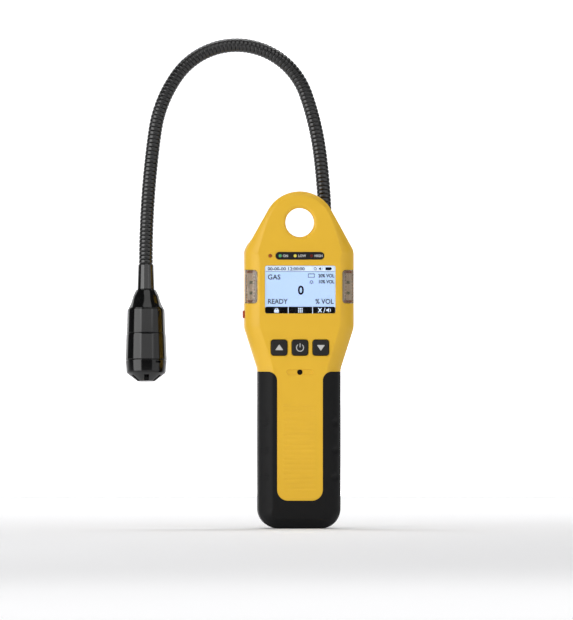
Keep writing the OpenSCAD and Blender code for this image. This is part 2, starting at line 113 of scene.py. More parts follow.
def skin_rings(bm, rings, close_rings=False):
    """Joins neighbouring closed rings with quads and returns the rings as vertices."""
    made = [[bm.verts.new(p) for p in ring] for ring in rings]
    pairs = list(zip(made, made[1:]))
    if close_rings:
        pairs.append((made[-1], made[0]))
    for low, high in pairs:
        count = len(low)
        for i in range(count):
            j = (i + 1) % count
            bm.faces.new((low[i], low[j], high[j], high[i]))
    return made


def stack(name, rings):
    """A closed solid through the rings, capped at both ends."""
    bm = bmesh.new()
    made = skin_rings(bm, rings)
    bm.faces.new(made[0])
    bm.faces.new(list(reversed(made[-1])))
    return finish_mesh(name, bm)


def smooth_edges(piece, angle=35, weighted=True):
    """Soft shading across gentle bends, crisp across real edges."""
    mesh = piece.data
    mesh.polygons.foreach_set("use_smooth", [True] * len(mesh.polygons))
    mesh.set_sharp_from_angle(angle=math.radians(angle))
    if weighted:
        even = piece.modifiers.new("even_normals", "WEIGHTED_NORMAL")
        even.keep_sharp = True
        even.weight = 80
    return piece


def carve(blank, cutters, operation="DIFFERENCE"):
    """Applies one exact boolean per cutter, then throws the cutters away."""
    for cutter in cutters:
        cut = blank.modifiers.new("cut", "BOOLEAN")
        cut.operation = operation
        cut.object = cutter
        cut.solver = "EXACT"
        graph = bpy.context.evaluated_depsgraph_get()
        mesh = bpy.data.meshes.new_from_object(blank.evaluated_get(graph))
        blank.modifiers.clear()
        old = blank.data
        blank.data = mesh
        bpy.data.meshes.remove(old)
        bpy.data.objects.remove(cutter)
    return blank


def copy_of(piece, name):
    twin = new_object(name, piece.data.copy())
    return twin


def fuse(name, pieces):
    """Joins several meshes into one object without changing them."""
    bm = bmesh.new()
    for piece in pieces:
        bm.from_mesh(piece.data)
        bpy.data.objects.remove(piece)
    mesh = bpy.data.meshes.new(name)
    bm.to_mesh(mesh)
    bm.free()
    return new_object(name, mesh)


print("helpers ready")

# %% [markdown]
# ## Rounded outlines
#
# Moulded housings are drawn as a few straight runs joined by arcs. `rounded` takes the sharp corners
# with a radius for each and returns evenly spread points with the inward direction at each, which is
# what lets the edge be rolled over by a different amount along the way.

# %% Rounded outline
def rounded(corners, step, arc_step=None):
    """corners: (x, z, radius) counter-clockwise. Returns [(point, inward normal)]."""
    count = len(corners)
    arcs = []
    for i in range(count):
        before, here, after = (Vector(corners[(i + k) % count][:2]) for k in (-1, 0, 1))
        into, out = (here - before).normalized(), (after - here).normalized()
        turn = math.atan2(into.x * out.y - into.y * out.x, into.dot(out))
        radius = corners[i][2]
        reach = radius * math.tan(abs(turn) / 2)
        side = 1 if turn > 0 else -1
        inward = Vector((-into.y, into.x))
        centre = here - into * reach + inward * radius * side
        arcs.append((here - into * reach, centre, inward, turn, radius, side, here + out * reach))
    out_points = []
    for i, (start, centre, inward, turn, radius, side, end) in enumerate(arcs):
        pieces = max(4, math.ceil(abs(turn) * radius / (arc_step or step)))
        if radius * abs(turn) < 1e-6:
            pieces = 1
        for k in range(pieces + 1):
            spin = Matrix.Rotation(turn * k / pieces, 2)
            normal = spin @ inward
            point = centre - normal * radius * side
            out_points.append((point, normal))
        following = arcs[(i + 1) % count][0]
        run = following - end
        spans = max(1, math.ceil(run.length / step))
        normal = Matrix.Rotation(turn, 2) @ inward
        for k in range(1, spans):
            out_points.append((end + run * k / spans, normal))
    return out_points


def mirrored(corners):
    """Right-hand corners, foot to top; adds the left-hand side and keeps points on the middle once."""
    left = [(-x, z, r) for x, z, r in reversed(corners) if x > 1e-9]
    return corners + left


print("square of 10 has", len(rounded([(0, 0, 1), (10, 0, 1), (10, 10, 1), (0, 10, 1)], 2)), "points")

# %% [markdown]
# ## The housing's outline
#
# Seen from the front, the housing is a grip with a rounded foot, a neck that widens at about
# seventeen degrees to the display section, two shoulders, and flanks that lean in and run tangent to
# the round top of the loop. The rear half is the same up to the shoulders and ends there in a flat
# shelf, which leaves the loop thin enough to hook over a belt.

# %% Housing outline
FLANK = math.radians(29.4)
LOOP_R = 0.023
LOOP_CENTRE = LOOP_TOP - LOOP_R
APEX = LOOP_CENTRE + LOOP_R / math.sin(FLANK)
SHOULDER_EDGE = APEX - HALF_HEAD / math.tan(FLANK)
SHELF_HALF = (APEX - SHOULDER) * math.tan(FLANK)
lower_corners = [
    (HALF_GRIP, FOOT, 0.013),
    (HALF_GRIP, RUBBER_TOP + 0.0014, 0.014),
    (HALF_HEAD, FOOT + 0.1286, 0.014),
]
front_corners = mirrored(lower_corners + [(HALF_HEAD, SHOULDER_EDGE, 0.009), (0.0, APEX, LOOP_R)])
rear_corners = mirrored(lower_corners + [(HALF_HEAD, SHOULDER_EDGE, 0.008), (SHELF_HALF, SHOULDER, 0.006)])
front_line = rounded(front_corners, 0.003, 0.0008)
rear_line = rounded(rear_corners, 0.003, 0.0008)
print("outline points", len(front_line), len(rear_line))

# %% [markdown]
# ## Rolling the edge over
#
# The long front edges are not simple bevels: on the display section they fall away for nine
# millimetres, and up the flanks of the loop they thin to under three. A super-ellipse gives a facet
# with soft ends, and its width is read off the height so that the change along the edge is gradual.
# A bevel modifier could not vary like that, so the rings are made directly.

# %% Edge roll
ROLL_STEPS = 14
ROLL_POWER = 1.38


def ease(value, low, high):
    t = min(1.0, max(0.0, (value - low) / (high - low)))
    return t * t * (3 - 2 * t)


def roll_size(z, top_inset=0.0030, top_drop=0.0026):
    """Width and depth of the rolled edge at height z."""
    up = ease(z, FOOT + 0.170, FOOT + 0.203)
    down = 1 - ease(z, FOOT, FOOT + 0.013)
    inset = 0.0094 + (top_inset - 0.0094) * up - 0.0030 * down
    drop = 0.0090 + (top_drop - 0.0090) * up - 0.0030 * down
    return inset, drop


def rolled_solid(name, line, face_y, back_y, inset_by=0.0, shrink_roll=0.0, size=roll_size):
    """A block with the given outline: face_y is its broad face, whose edge is rolled over."""
    toward = 1 if back_y > face_y else -1
    rings = []
    for k in range(ROLL_STEPS + 1):
        theta = math.pi / 2 * k / ROLL_STEPS
        across = math.cos(theta) ** (2 / ROLL_POWER)
        along = math.sin(theta) ** (2 / ROLL_POWER)
        ring = []
        for point, normal in line:
            inset, drop = size(point.y)
            inset = max(0.0005, inset - shrink_roll)
            p = point + normal * (inset_by + inset * (1 - across))
            ring.append(Vector((p.x, face_y + toward * drop * (1 - along), p.y)))
        rings.append(ring)
    flat = [Vector((p.x, back_y, p.z)) for p in rings[0]]
    return stack(name, [flat] + rings)


blank = rolled_solid("front_blank", front_line, FRONT, SPLIT)
print("front blank faces", len(blank.data.polygons))
bpy.data.objects.remove(blank)

# %% [markdown]
# ## Prisms and openings
#
# Windows and key holes are straight-sided, but a moulded edge is never a knife edge: the mouth of
# each opening gets a 0.4 mm rounding where it meets the face, so it catches a thin line of light.
# `opening` makes the cutter for one such hole, wider at the mouth.

# %% Prisms and openings
def at(x, depth, height):
    """A place given as millimetres right of the middle, behind the front face and above the foot."""
    return Vector((x * MM, FRONT + depth * MM, FOOT + height * MM))


def box_line(x, height, width, tall, radius, step=0.004, arc_step=0.0004):
    """A rounded rectangle about (x, height), all in millimetres, as an outline."""
    corners = [
        ((x + sx * width / 2) * MM, FOOT + (height + sz * tall / 2) * MM, radius * MM)
        for sx, sz in ((1, -1), (1, 1), (-1, 1), (-1, -1))
    ]
    return rounded(corners, step, arc_step)


def layers(name, line, profile):
    """A solid through (inset, depth) pairs in millimetres, all from the same outline."""
    rings = []
    for inset, depth in profile:
        rings.append(
            [Vector(((p.x + n.x * inset * MM), FRONT + depth * MM, p.y + n.y * inset * MM)) for p, n in line]
        )
    return stack(name, rings)


def opening(line, depth, mouth=0.4):
    """Cutter for a hole with a rounded mouth: proud of the face, and past the wall by depth."""
    flare = [(-mouth * (1 - math.sin(t)), mouth * (1 - math.cos(t))) for t in [0, 0.4, 0.8, 1.2, math.pi / 2]]
    return layers("opening", line, [(-mouth, -2.0)] + flare + [(0.0, depth)])


def turned(profile, sides=96, origin=Vector((0, 0, 0)), axis=Vector((0, 0, 1)), across=None):
    """Turns (radius, distance) pairs round an axis; a closed profile gives a ring, an open one a solid."""
    side = (across or axis.orthogonal()).normalized()
    other = axis.cross(side).normalized()
    rings = []
    for radius, distance in profile:
        ring = []
        for k in range(sides):
            angle = 2 * math.pi * k / sides
            ring.append(origin + axis * distance + (side * math.cos(angle) + other * math.sin(angle)) * radius)
        rings.append(ring)
    return rings


def turned_solid(name, profile, **where):
    return stack(name, turned(profile, **where))


def turned_tube(name, profile, **where):
    bm = bmesh.new()
    skin_rings(bm, turned(profile, **where), close_rings=True)
    return finish_mesh(name, bm)


print("opening tools ready")

# %% [markdown]
# ## The line between plastic and rubber
#
# On the real grip the rubber is moulded round a raised yellow tongue, and flares away from it under
# the keys. One outline serves both materials. Drawing it once means that the seam is even, with the
# rubber held back by a hair so that the joint reads as a fine dark line.

# %% Rubber outline
tongue_half, tongue_foot, tongue_r, flare_r = 14.6, 18.0, 7.0, 5.8
rubber_top_mm = (RUBBER_TOP - FOOT) / MM
EDGE = 42.0
rubber_corners = [
    (EDGE, -6.0, 0.2),
    (EDGE, rubber_top_mm, 0.2),
    (tongue_half, rubber_top_mm, flare_r),
    (tongue_half, tongue_foot, tongue_r),
    (-tongue_half, tongue_foot, tongue_r),
    (-tongue_half, rubber_top_mm, flare_r),
    (-EDGE, rubber_top_mm, 0.2),
    (-EDGE, -6.0, 0.2),
]
rubber_line = rounded([(x * MM, FOOT + z * MM, r * MM) for x, z, r in rubber_corners], 0.004, 0.0006)
print("rubber outline points", len(rubber_line))

# %% [markdown]
# ## Front housing: the blank
#
# The moulding starts as the outline with its front edge rolled over. The inside is taken out to leave
# a wall of about two millimetres. Above the shoulders the thickness is cut to eleven millimetres,
# which leaves the flat loop, and the back edge of the loop is rounded so that a strap slides over it.

# %% Front blank
WALL = 2.2
LOOP_T = 11.0
SHOULDER_MM = (SHOULDER - FOOT) / MM
cavity_corners = mirrored(
    lower_corners + [(HALF_HEAD, SHOULDER_EDGE - 0.003, 0.013), (SHELF_HALF - 0.002, SHOULDER - 0.001, 0.0115)]
)
cavity_line = rounded(cavity_corners, 0.004, 0.0012)


def cavity_roll(z):
    return (0.0072, 0.0068) if z > FOOT + 0.02 else (0.0042, 0.0042)


def front_blank(name):
    return rolled_solid(name, front_line, FRONT, SPLIT)


def hollow(name):
    return rolled_solid(name, cavity_line, FRONT + WALL * MM, SPLIT + 0.004, inset_by=WALL * MM, size=cavity_roll)


def block(name, x0, x1, d0, d1, h0, h1):
    """A plain rectangular cutter in millimetres: sideways, behind the face, above the foot."""
    low, high = at(x0, d0, h0), at(x1, d1, h1)
    corners = [(low.x, low.z), (high.x, low.z), (high.x, high.z), (low.x, high.z)]
    return stack(name, [[Vector((x, y, z)) for x, z in corners] for y in (low.y, high.y)])


plate = rolled_solid(
    "plate", front_line, FRONT + LOOP_T * MM, FRONT - 0.02, inset_by=-0.00006, size=lambda z: (0.0018, 0.0018)
)
shelf = carve(block("shelf", -60, 60, LOOP_T - 2.5, 40, SHOULDER_MM, 240), [plate])
HOLE_R = 9.2
rim_front, rim_back = 2.6, 1.8
hole_profile = [(HOLE_R + rim_front + 0.5, -2.0), (HOLE_R + rim_front + 0.5, -0.02)]
for k in range(9):
    t = math.pi / 2 * k / 8
    hole_profile.append((HOLE_R + rim_front * (1 - math.sin(t)), 1.6 * (1 - math.cos(t))))
for k in range(9):
    t = math.pi / 2 * k / 8
    hole_profile.append((HOLE_R + rim_back * (1 - math.cos(t)), LOOP_T - 1.2 * (1 - math.sin(t))))
hole_profile += [(HOLE_R + rim_back + 0.5, LOOP_T + 0.02), (HOLE_R + rim_back + 0.5, LOOP_T + 3)]
hole = turned_solid(
    "hole",
    [(r * MM, d * MM) for r, d in hole_profile],
    sides=144,
    origin=Vector((0, FRONT, 0)),
    axis=Vector((0, 1, 0)),
)
front = carve(front_blank("front_body"), [hollow("inside"), shelf, hole])
print("front body", len(front.data.vertices), "points")

# %% [markdown]
# ## Front housing: its openings
#
# The window, the lamp strip, three key holes, the sounder hole with its shallow finger slot, two
# wrap-round lens windows and the side button's slot all pass through the same wall. They are cut
# together, since none of them touch. Cutting real holes, instead of laying parts on top, lets every
# part sit down inside its rim with the even gap that a fitted part has.

# %% Front openings
window_x, window_h = 0.2, 153.1
window_w, window_t = 45.2, 30.6
strip_h, strip_w, strip_t = 174.7, 31.2, 4.8
led_at = (-12.7, -3.1, 7.4)
charge_at = -19.0
key_h, key_w, key_t, key_pitch = 115.9, 10.2, 9.9, 13.35
sounder_h = 100.2
lens_low, lens_tall, lens_x, lens_depth = 144.3, 21.3, 27.3, 15.0
button_h, button_depth = 137.2, 13.4

openings = [
    opening(box_line(window_x, window_h, window_w, window_t, 1.3), 1.7, 0.35),
    opening(box_line(0, strip_h, strip_w + 0.2, strip_t + 0.2, 2.45), 0.95, 0.25),
    opening(box_line(charge_at, strip_h, 2.5, 2.5, 1.24), 6, 0.2),
    opening(box_line(0, sounder_h, 16.5, 3.2, 1.58), 0.55, 0.5),
]
openings += [opening(box_line(k * key_pitch, key_h, key_w + 0.5, key_t + 0.5, 1.95), 6, 0.4) for k in (-1, 0, 1)]
deeper = [
    layers("sight", box_line(window_x, window_h, window_w - 2.4, window_t - 2.4, 0.9), [(0, 0.8), (0, 6)]),
    layers("sounder", box_line(0, sounder_h, 3.5, 3.5, 1.74), [(-0.3, 0.3), (0, 0.8), (0, 6)]),
]
deeper += [layers("led_hole", box_line(x, strip_h, 2.1, 2.1, 1.04), [(0, 0.5), (0, 6)]) for x in led_at]


def lens_prism(side, play):
    """Outline of a wrap-round lens seen from the front, taken back as far as its rear edge."""
    outer = 42.0
    line = box_line(side * (lens_x - play + outer) / 2, lens_low + lens_tall / 2, outer - lens_x + play,
                    lens_tall + 2 * play, 2.2)
    end = lens_depth + play
    return layers("lens_cut", line, [(0, -2.0), (0, end - 1.6), (0.2, end - 0.8), (0.7, end - 0.25), (1.5, end)])


button_line = box_line(0, 0, 6.5, 5.4, 1.4)
button_rings = []
for x in (-42.0, -30.0):
    button_rings.append(
        [Vector((x * MM, FRONT + button_depth * MM + p.x, FOOT + button_h * MM + (p.y - FOOT))) for p, n in button_line]
    )
openings.append(stack("button_slot", button_rings))
openings += [lens_prism(side, 0.12) for side in (-1, 1)]
front = carve(front, [fuse("openings", openings), fuse("deeper", deeper)])
print("after openings", len(front.data.vertices), "points")

# %% [markdown]
# ## Thumb ribs and finger grooves
#
# The tongue carries eighteen shallow grooves that stop the thumb slipping. Each is the mark of a
# capsule pressed a quarter of a millimetre into the face, so it fades out at its ends the way a
# ball-nosed cutter leaves a mould. The rubber has three wider grooves across each side facet.

# %% Ribs and grooves
def capsule(middle, direction, half, radius, sides=28):
    """A round-ended rod, used to press a shallow groove."""
    profile = [(radius * math.sin(t), -half - radius * math.cos(t)) for t in (0.05, 0.4, 0.8, 1.2, math.pi / 2)]
    profile += [(r, -d) for r, d in reversed(profile)]
    return turned_solid("capsule", profile, sides=sides, origin=middle, axis=direction.normalized())


rib_count, rib_top, rib_pitch, rib_r, rib_sink = 18, 78.7, 3.13, 2.3, 0.30
ribs = [
    capsule(at(0, rib_sink - rib_r, rib_top - k * rib_pitch), Vector((1, 0, 0)), 9.9 * MM, rib_r * MM)
    for k in range(rib_count)
]
groove_r = 7.0
grooves = []
for height in (68.0, 50.0, 33.0):
    for side in (-1, 1):
        facet_mid = at(side * (HALF_GRIP / MM - 3.9), 3.7, height)
        outward = Vector((side * 0.70, -0.72, 0))
        along = Vector((side * 0.72, 0.70, 0))
        grooves.append(capsule(facet_mid + outward * (groove_r - 0.25) * MM, along, 3.0 * MM, groove_r * MM, 48))
print(len(ribs), "ribs", len(grooves), "grooves")

# %% [markdown]
# ## Parting the front housing into plastic and rubber
#
# The rubber is a skin 1.6 mm thick over a thinner plastic core, as an overmould really is. The same
# core shape is left out of both cuts, so the two pieces nest: the plastic keeps its core under the
# rubber, and the rubber is hollow behind.

# %% Plastic and rubber, front
SKIN = 1.6
core_corners = mirrored(lower_corners[:2] + [(HALF_GRIP + 0.006, FOOT + 0.122, 0.002)])
core_line = rounded(core_corners, 0.004, 0.001)


def grip_core(name, face_y, back_y, size):
    return rolled_solid(name, core_line, face_y, back_y, inset_by=SKIN * MM, size=size)


def core_roll(z):
    inset, drop = roll_size(z)
    return inset - 0.0008, drop - 0.0008


seam = 0.10
rubber_zone = layers("rubber_zone", rubber_line, [(seam, -3), (seam, 30)])
front_core = grip_core("front_core", FRONT + SKIN * MM, SPLIT + 0.003, core_roll)
front_rubber = carve(copy_of(front, "front_grip_rubber"), [rubber_zone], "INTERSECT")
front_rubber = carve(front_rubber, [front_core, fuse("grooves", grooves)])
plastic_gap = layers("plastic_gap", rubber_line, [(0, -3), (0, 30)])
front_core = grip_core("front_core", FRONT + SKIN * MM, SPLIT + 0.003, core_roll)
plastic_gap = carve(plastic_gap, [front_core])
front_plastic = carve(front, [plastic_gap, fuse("ribs", ribs)])
front_plastic.name = "front_housing"
smooth_edges(front_plastic)
smooth_edges(front_rubber)
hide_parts("front_shell")
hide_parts("front_grip")
print("front plastic", len(front_plastic.data.polygons), "front rubber", len(front_rubber.data.polygons))

# %% [markdown]
# ## Rear housing
#
# The rear half is a plainer tub with the same outline, ending in a flat shelf behind the loop. Six
# screws go in from the back through deep round wells, each standing on its own boss. The charging
# opening is in the foot, and the gooseneck's gland seats in a round recess in the shelf.

# %% Rear housing
def rear_roll(z):
    up = ease(z, FOOT + 0.166, SHOULDER)
    down = 1 - ease(z, FOOT, FOOT + 0.013)
    inset = 0.0085 - 0.0040 * up - 0.0028 * down
    return inset, inset * 0.92


def rear_core_roll(z):
    inset, drop = rear_roll(z)
    return inset - 0.0008, drop - 0.0008


rear = rolled_solid("rear_body", rear_line, BACK, SPLIT, size=rear_roll)
inside = rolled_solid(
    "inside", cavity_line, BACK - WALL * MM, SPLIT - 0.004, inset_by=WALL * MM, size=cavity_roll
)
back_mm = (BACK - FRONT) / MM
split_mm = (SPLIT - FRONT) / MM
screw_spots = [(side * x, h) for side in (-1, 1) for x, h in ((28.3, 172.3), (19.0, 88.0), (13.0, 8.4))]


def rod(x, h, d0, d1, r0, r1=None, sides=48):
    """A round rod running front to back, in millimetres."""
    r1 = r0 if r1 is None else r1
    return turned_solid("rod", [(r0 * MM, d0 * MM), (r1 * MM, d1 * MM)], sides=sides,
                        origin=at(x, 0, h), axis=Vector((0, 1, 0)))


WIDE_SPOT, WIDE_SHORTER = 26.5, 2.6
bosses = fuse("bosses", [
    rod(x, h, split_mm + 0.3, back_mm - 1.2 - (WIDE_SHORTER if abs(x) > WIDE_SPOT else 0), 3.4) for x, h in screw_spots
])
wells = fuse("wells", [rod(x, h, back_mm - 6, back_mm + 3, 2.9) for x, h in screw_spots])
through = fuse("through", [rod(x, h, split_mm - 3, back_mm - 5.5, 1.6) for x, h in screw_spots])
LEAN = math.radians(4.5)
NECK_UP = Vector((0, math.sin(LEAN), math.cos(LEAN)))
gland_low, gland_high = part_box("neck_gland")
gland_foot = at((gland_low.x + gland_high.x) / 2 / MM, 26.0, 186.0)
gland_well = turned_solid(
    "gland_well",
    [(6.25 * MM, -0.016), (6.25 * MM, -0.0014), (8.2 * MM, -0.0014), (8.2 * MM, 0.008)],
    origin=gland_foot,
    axis=NECK_UP,
)
port = block("port", -6.2, 6.2, 21.4, 28.6, -2, 3.0)
socket_way = block("socket_way", -4.5, 4.5, 23.2, 26.8, 0, 6)
rear = carve(rear, [inside])
rear = carve(rear, [bosses], "UNION")
rear = carve(rear, [wells, through, gland_well, port, socket_way])
print("rear housing", len(rear.data.polygons))

# %% [markdown]
# ## Rear rubber
#
# Behind, the rubber covers the whole grip up to the same height as in front. It is parted from the
# plastic in the same way, with the same hair of clearance at its top edge.

# %% Plastic and rubber, rear
rear_core = grip_core("rear_core", BACK - SKIN * MM, SPLIT - 0.003, rear_core_roll)
rear_zone = block("rear_zone", -60, 60, 10, 60, -6, rubber_top_mm - seam)
rear_rubber = carve(copy_of(rear, "rear_grip_rubber"), [rear_zone], "INTERSECT")
rear_rubber = carve(rear_rubber, [rear_core])
rear_core = grip_core("rear_core", BACK - SKIN * MM, SPLIT - 0.003, rear_core_roll)
rear_gap = carve(block("rear_gap", -60, 60, 10, 60, -6, rubber_top_mm), [rear_core])
rear_plastic = carve(rear, [rear_gap])
rear_plastic.name = "rear_housing"
smooth_edges(rear_plastic)
smooth_edges(rear_rubber)
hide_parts("rear_shell")
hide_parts("rear_grip")
print("rear plastic", len(rear_plastic.data.polygons), "rear rubber", len(rear_rubber.data.polygons))

# %% [markdown]
# ## Alarm lenses
#
# Each lens is a piece of the housing's own skin, moulded in smoky clear plastic, so it continues the
# rolled edge without a step. It is cut from a second copy of the skin by a slightly smaller prism.
# Two upright rows of small pips on its inside scatter the light. Behind them a pale carrier holds two
# square light emitters, one above the other, between an amber pad at each end.

# %% Alarm lenses
CARRIER = (28.3, 33.0)
END_MARGIN, PAD_TALL = 2.0, 1.5
EMITTER_X, EMITTER_HALF, EMITTER_UP = 30.6, 0.9, (6.6, 13.4)
lenses = {}
for side, name in ((-1, "left_alarm_lens"), (1, "right_alarm_lens")):
    skin = carve(front_blank(name), [hollow("inside")])
    skin = carve(skin, [lens_prism(side, 0.0)], "INTERSECT")
    pips = []
    for column_x, depth in ((28.9, 3.4), (32.9, 8.6)):
        for k in range(9):
            height = lens_low + 2.65 + 2.0 * k
            pips.append(capsule(at(side * column_x, depth, height), Vector((0, 0, 1)), 0.25 * MM, 0.5 * MM, 12))
    skin = carve(skin, [fuse("pips", pips)])
    smooth_edges(skin)
    skin.name = name + "_moulding"
    near, far = sorted((side * CARRIER[0], side * CARRIER[1]))
    pieces = {"body": skin}
    low, high = lens_low + END_MARGIN, lens_low + lens_tall - END_MARGIN
    pieces["reflector"] = block(name + "_reflector", near, far, 6.6, 7.4, low, high)
    mid, half = side * EMITTER_X, EMITTER_HALF
    emitters = [block("emitter", mid - half, mid + half, 6.2, 6.6, lens_low + h - half, lens_low + h + half)
                for h in EMITTER_UP]
    pieces["emitters"] = fuse(name + "_emitters", emitters)
    pads = ((low - PAD_TALL, low), (high, high + PAD_TALL))
    ends = [block("end", near, far, 6.2, 8.2, *span) for span in pads]
    pieces["ends"] = fuse(name + "_end_pads", ends)
    for piece in pieces.values():
        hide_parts(name)
    lenses[name] = pieces
print({name: {part: len(piece.data.polygons) for part, piece in pieces.items()} for name, pieces in lenses.items()})

# %% [markdown]
# ## Display window and screen
#
# The window is a clear plate set a tenth of a millimetre below the face. Behind it sits the screen.
# Its picture is laid out in thin raised marks, as a screen printer would lay ink: a pale blue field,
# a lighter bar along the top, a black bar for the three key functions, and plain generic readings.

# %% Window and screen
window = layers(
    "display_glass", box_line(window_x, window_h, window_w - 0.1, window_t - 0.1, 1.25),
    [(0, 1.05), (0, 0.32), (0.06, 0.19), (0.2, 0.1)],
)
smooth_edges(window)
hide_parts("display_window")
screen = layers(
    "screen_face", box_line(window_x, window_h, window_w - 0.16, window_t - 0.16, 1.2), [(0, 1.55), (0, 1.2)]
)


def chip(name, points, depth0, depth1):
    """A flat plate from (x, height) points in millimetres."""
    near = [at(x, depth0, h) for x, h in points]
    far = [at(x, depth1, h) for x, h in points]
    return stack(name, [far, near])


def bar(name, x, h, width, tall, depth0, depth1):
    dx, dh = width / 2, tall / 2
    return chip(name, [(x - dx, h - dh), (x + dx, h - dh), (x + dx, h + dh), (x - dx, h + dh)], depth0, depth1)


def arc_chip(name, x, h, r_in, r_out, start, end, depth0, depth1, steps=28):
    """A curved stroke about (x, h), angles in degrees from the right."""
    turns = [math.radians(start + (end - start) * k / steps) for k in range(steps + 1)]
    outer = [(x + r_out * math.cos(t), h + r_out * math.sin(t)) for t in turns]
    inner = [(x + r_in * math.cos(t), h + r_in * math.sin(t)) for t in reversed(turns)]
    return chip(name, outer + inner, depth0, depth1)


def words(name, text, x, h, tall, depth, align="LEFT", wide=1.0, bold=0.07):
    """Plain lettering from the built-in font as a thin solid; tall is the height of a capital."""
    curve = bpy.data.curves.new(name, "FONT")
    curve.body = text
    curve.size = tall * MM / 0.70
    curve.align_x = align
    curve.extrude = 0.00001
    curve.offset = bold * MM
    curve.resolution_u = 3
    maker = new_object(name + "_maker", curve)
    graph = bpy.context.evaluated_depsgraph_get()
    mesh = bpy.data.meshes.new_from_object(maker.evaluated_get(graph))
    bpy.data.objects.remove(maker)
    bpy.data.curves.remove(curve)
    mesh.transform(Matrix.Diagonal((wide, 1, 1, 1)))
    mesh.transform(Matrix.Rotation(math.pi / 2, 4, "X"))
    mesh.transform(Matrix.Translation(at(x, depth, h)))
    bm = bmesh.new()
    bm.from_mesh(mesh)
    bpy.data.meshes.remove(mesh)
    return finish_mesh(name, bm)


D0, D1 = 1.16, 1.24
key_bar = layers("key_bar", box_line(window_x, 139.9, window_w - 0.5, 4.4, 0.9), [(0, D1), (0, D0)])
top_bar = bar("top_bar", window_x, 166.35, window_w - 1.2, 3.1, 1.19, 1.26)
top_rule = bar("top_rule", window_x, 164.7, window_w - 0.8, 0.22, D0, D1)
left_edge = window_x - window_w / 2
ink = [
    top_rule,
    words("clock", "00-00-00 12:00:00", left_edge + 1.7, 165.4, 2.0, D0, wide=1.13, bold=0.07),
    words("gas_name", "GAS", left_edge + 1.7, 159.6, 3.1, D0),
    words("reading", "0", window_x + 0.4, 150.0, 5.5, D0, "CENTER", bold=0.2),
    words("state", "READY", left_edge + 1.7, 144.0, 3.1, D0, wide=0.92),
    words("unit", "% VOL", window_x + window_w / 2 - 1.2, 144.0, 3.1, D0, "RIGHT", 0.92),
    words("high_mark", "20% VOL", window_x + window_w / 2 - 0.8, 160.9, 2.1, D0, "RIGHT", 0.88, 0.09),
    words("low_mark", "10% VOL", window_x + window_w / 2 - 0.8, 157.1, 2.1, D0, "RIGHT", 0.88, 0.09),
    arc_chip("sun", 9.8, 166.4, 0.62, 0.95, 0, 359, D0, D1),
    chip("speaker", [(12.2, 165.9), (12.8, 165.9), (13.5, 165.4), (13.5, 167.4), (12.8, 166.9), (12.2, 166.9)], D0, D1),
    arc_chip("speaker_wave", 13.4, 166.4, 0.8, 1.05, -50, 50, D0, D1, 8),
    bar("battery", 18.2, 166.4, 3.6, 1.9, D0, D1),
    bar("battery_tip", 20.2, 166.4, 0.5, 0.9, D0, D1),
    arc_chip("bell", 7.4, 157.9, 0.7, 1.05, -20, 200, D0, D1, 14),
    bar("bell_foot", 7.4, 157.3, 2.6, 0.3, D0, D1),
    bar("bell_drop", 7.4, 156.9, 0.7, 0.35, D0, D1),
    chip("box_top", [(5.2, 162.9), (9.4, 162.9), (9.4, 163.3), (5.2, 163.3)], D0, D1),
    chip("box_foot", [(5.2, 160.8), (9.4, 160.8), (9.4, 161.1), (5.2, 161.1)], D0, D1),
    chip("box_left", [(5.2, 161.1), (5.5, 161.1), (5.5, 162.9), (5.2, 162.9)], D0, D1),
    chip("box_right", [(9.1, 161.1), (9.4, 161.1), (9.4, 162.9), (9.1, 162.9)], D0, D1),
]
screen_ink = fuse("screen_ink", ink)
E0, E1 = 1.10, 1.17
white = [
    bar("divider_1", -7.5, 139.9, 0.45, 4.4, E0, E1),
    bar("divider_2", 8.1, 139.9, 0.45, 4.4, E0, E1),
    layers("lock_body", box_line(-15.0, 139.3, 3.0, 2.0, 0.3), [(0, E1), (0, E0)]),
    arc_chip("lock_bow", -15.0, 140.3, 0.65, 1.05, 0, 180, E0, E1, 12),
]
for ix in (-1, 0, 1):
    for iz in (-1, 0, 1):
        white.append(bar("menu_cell", 0.3 + ix * 1.1, 139.9 + iz * 1.1, 0.8, 0.8, E0, E1))
for sign in (-1, 1):
    white.append(
        chip("cross", [(11.4, 139.9 - sign * 1.4), (12.0, 139.9 - sign * 1.6), (14.2, 139.9 + sign * 1.2),
                       (13.6, 139.9 + sign * 1.5)], E0, E1 - 0.01 * sign)
    )
white.append(chip("slash", [(15.0, 138.3), (15.4, 138.3), (16.3, 141.5), (15.9, 141.5)], E0, E1))
white.append(
    chip("mute", [(16.9, 139.4), (17.6, 139.4), (18.6, 138.4), (18.6, 141.4), (17.6, 140.4), (16.9, 140.4)], E0, E1)
)
white.append(arc_chip("mute_wave", 18.4, 139.9, 1.0, 1.35, -55, 55, E0, E1, 10))
key_bar_ink = fuse("key_bar_ink", white)
print("screen marks", len(screen_ink.data.polygons), len(key_bar_ink.data.polygons))

# %% [markdown]
# ## Lamp strip and charge lamp
#
# A black pill-shaped trim stands just proud of the face and carries three small domed lamps, green,
# yellow and red, each with a short printed word. The charge lamp is on its own to the left. The lamps
# are light pipes: a dome in front and a wider foot against the board.

# %% Lamps
strip = layers(
    "lamp_strip", box_line(0, strip_h, strip_w, strip_t, 2.35),
    [(0, 1.0), (0, 0.2), (0.04, 0.08), (0.14, -0.01), (0.34, -0.05)],
)
strip = carve(strip, [fuse("lamp_holes", [rod(x, strip_h, -2, 4, 1.05) for x in led_at])])
strip.name = "lamp_strip"
smooth_edges(strip)
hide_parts("indicator_strip")


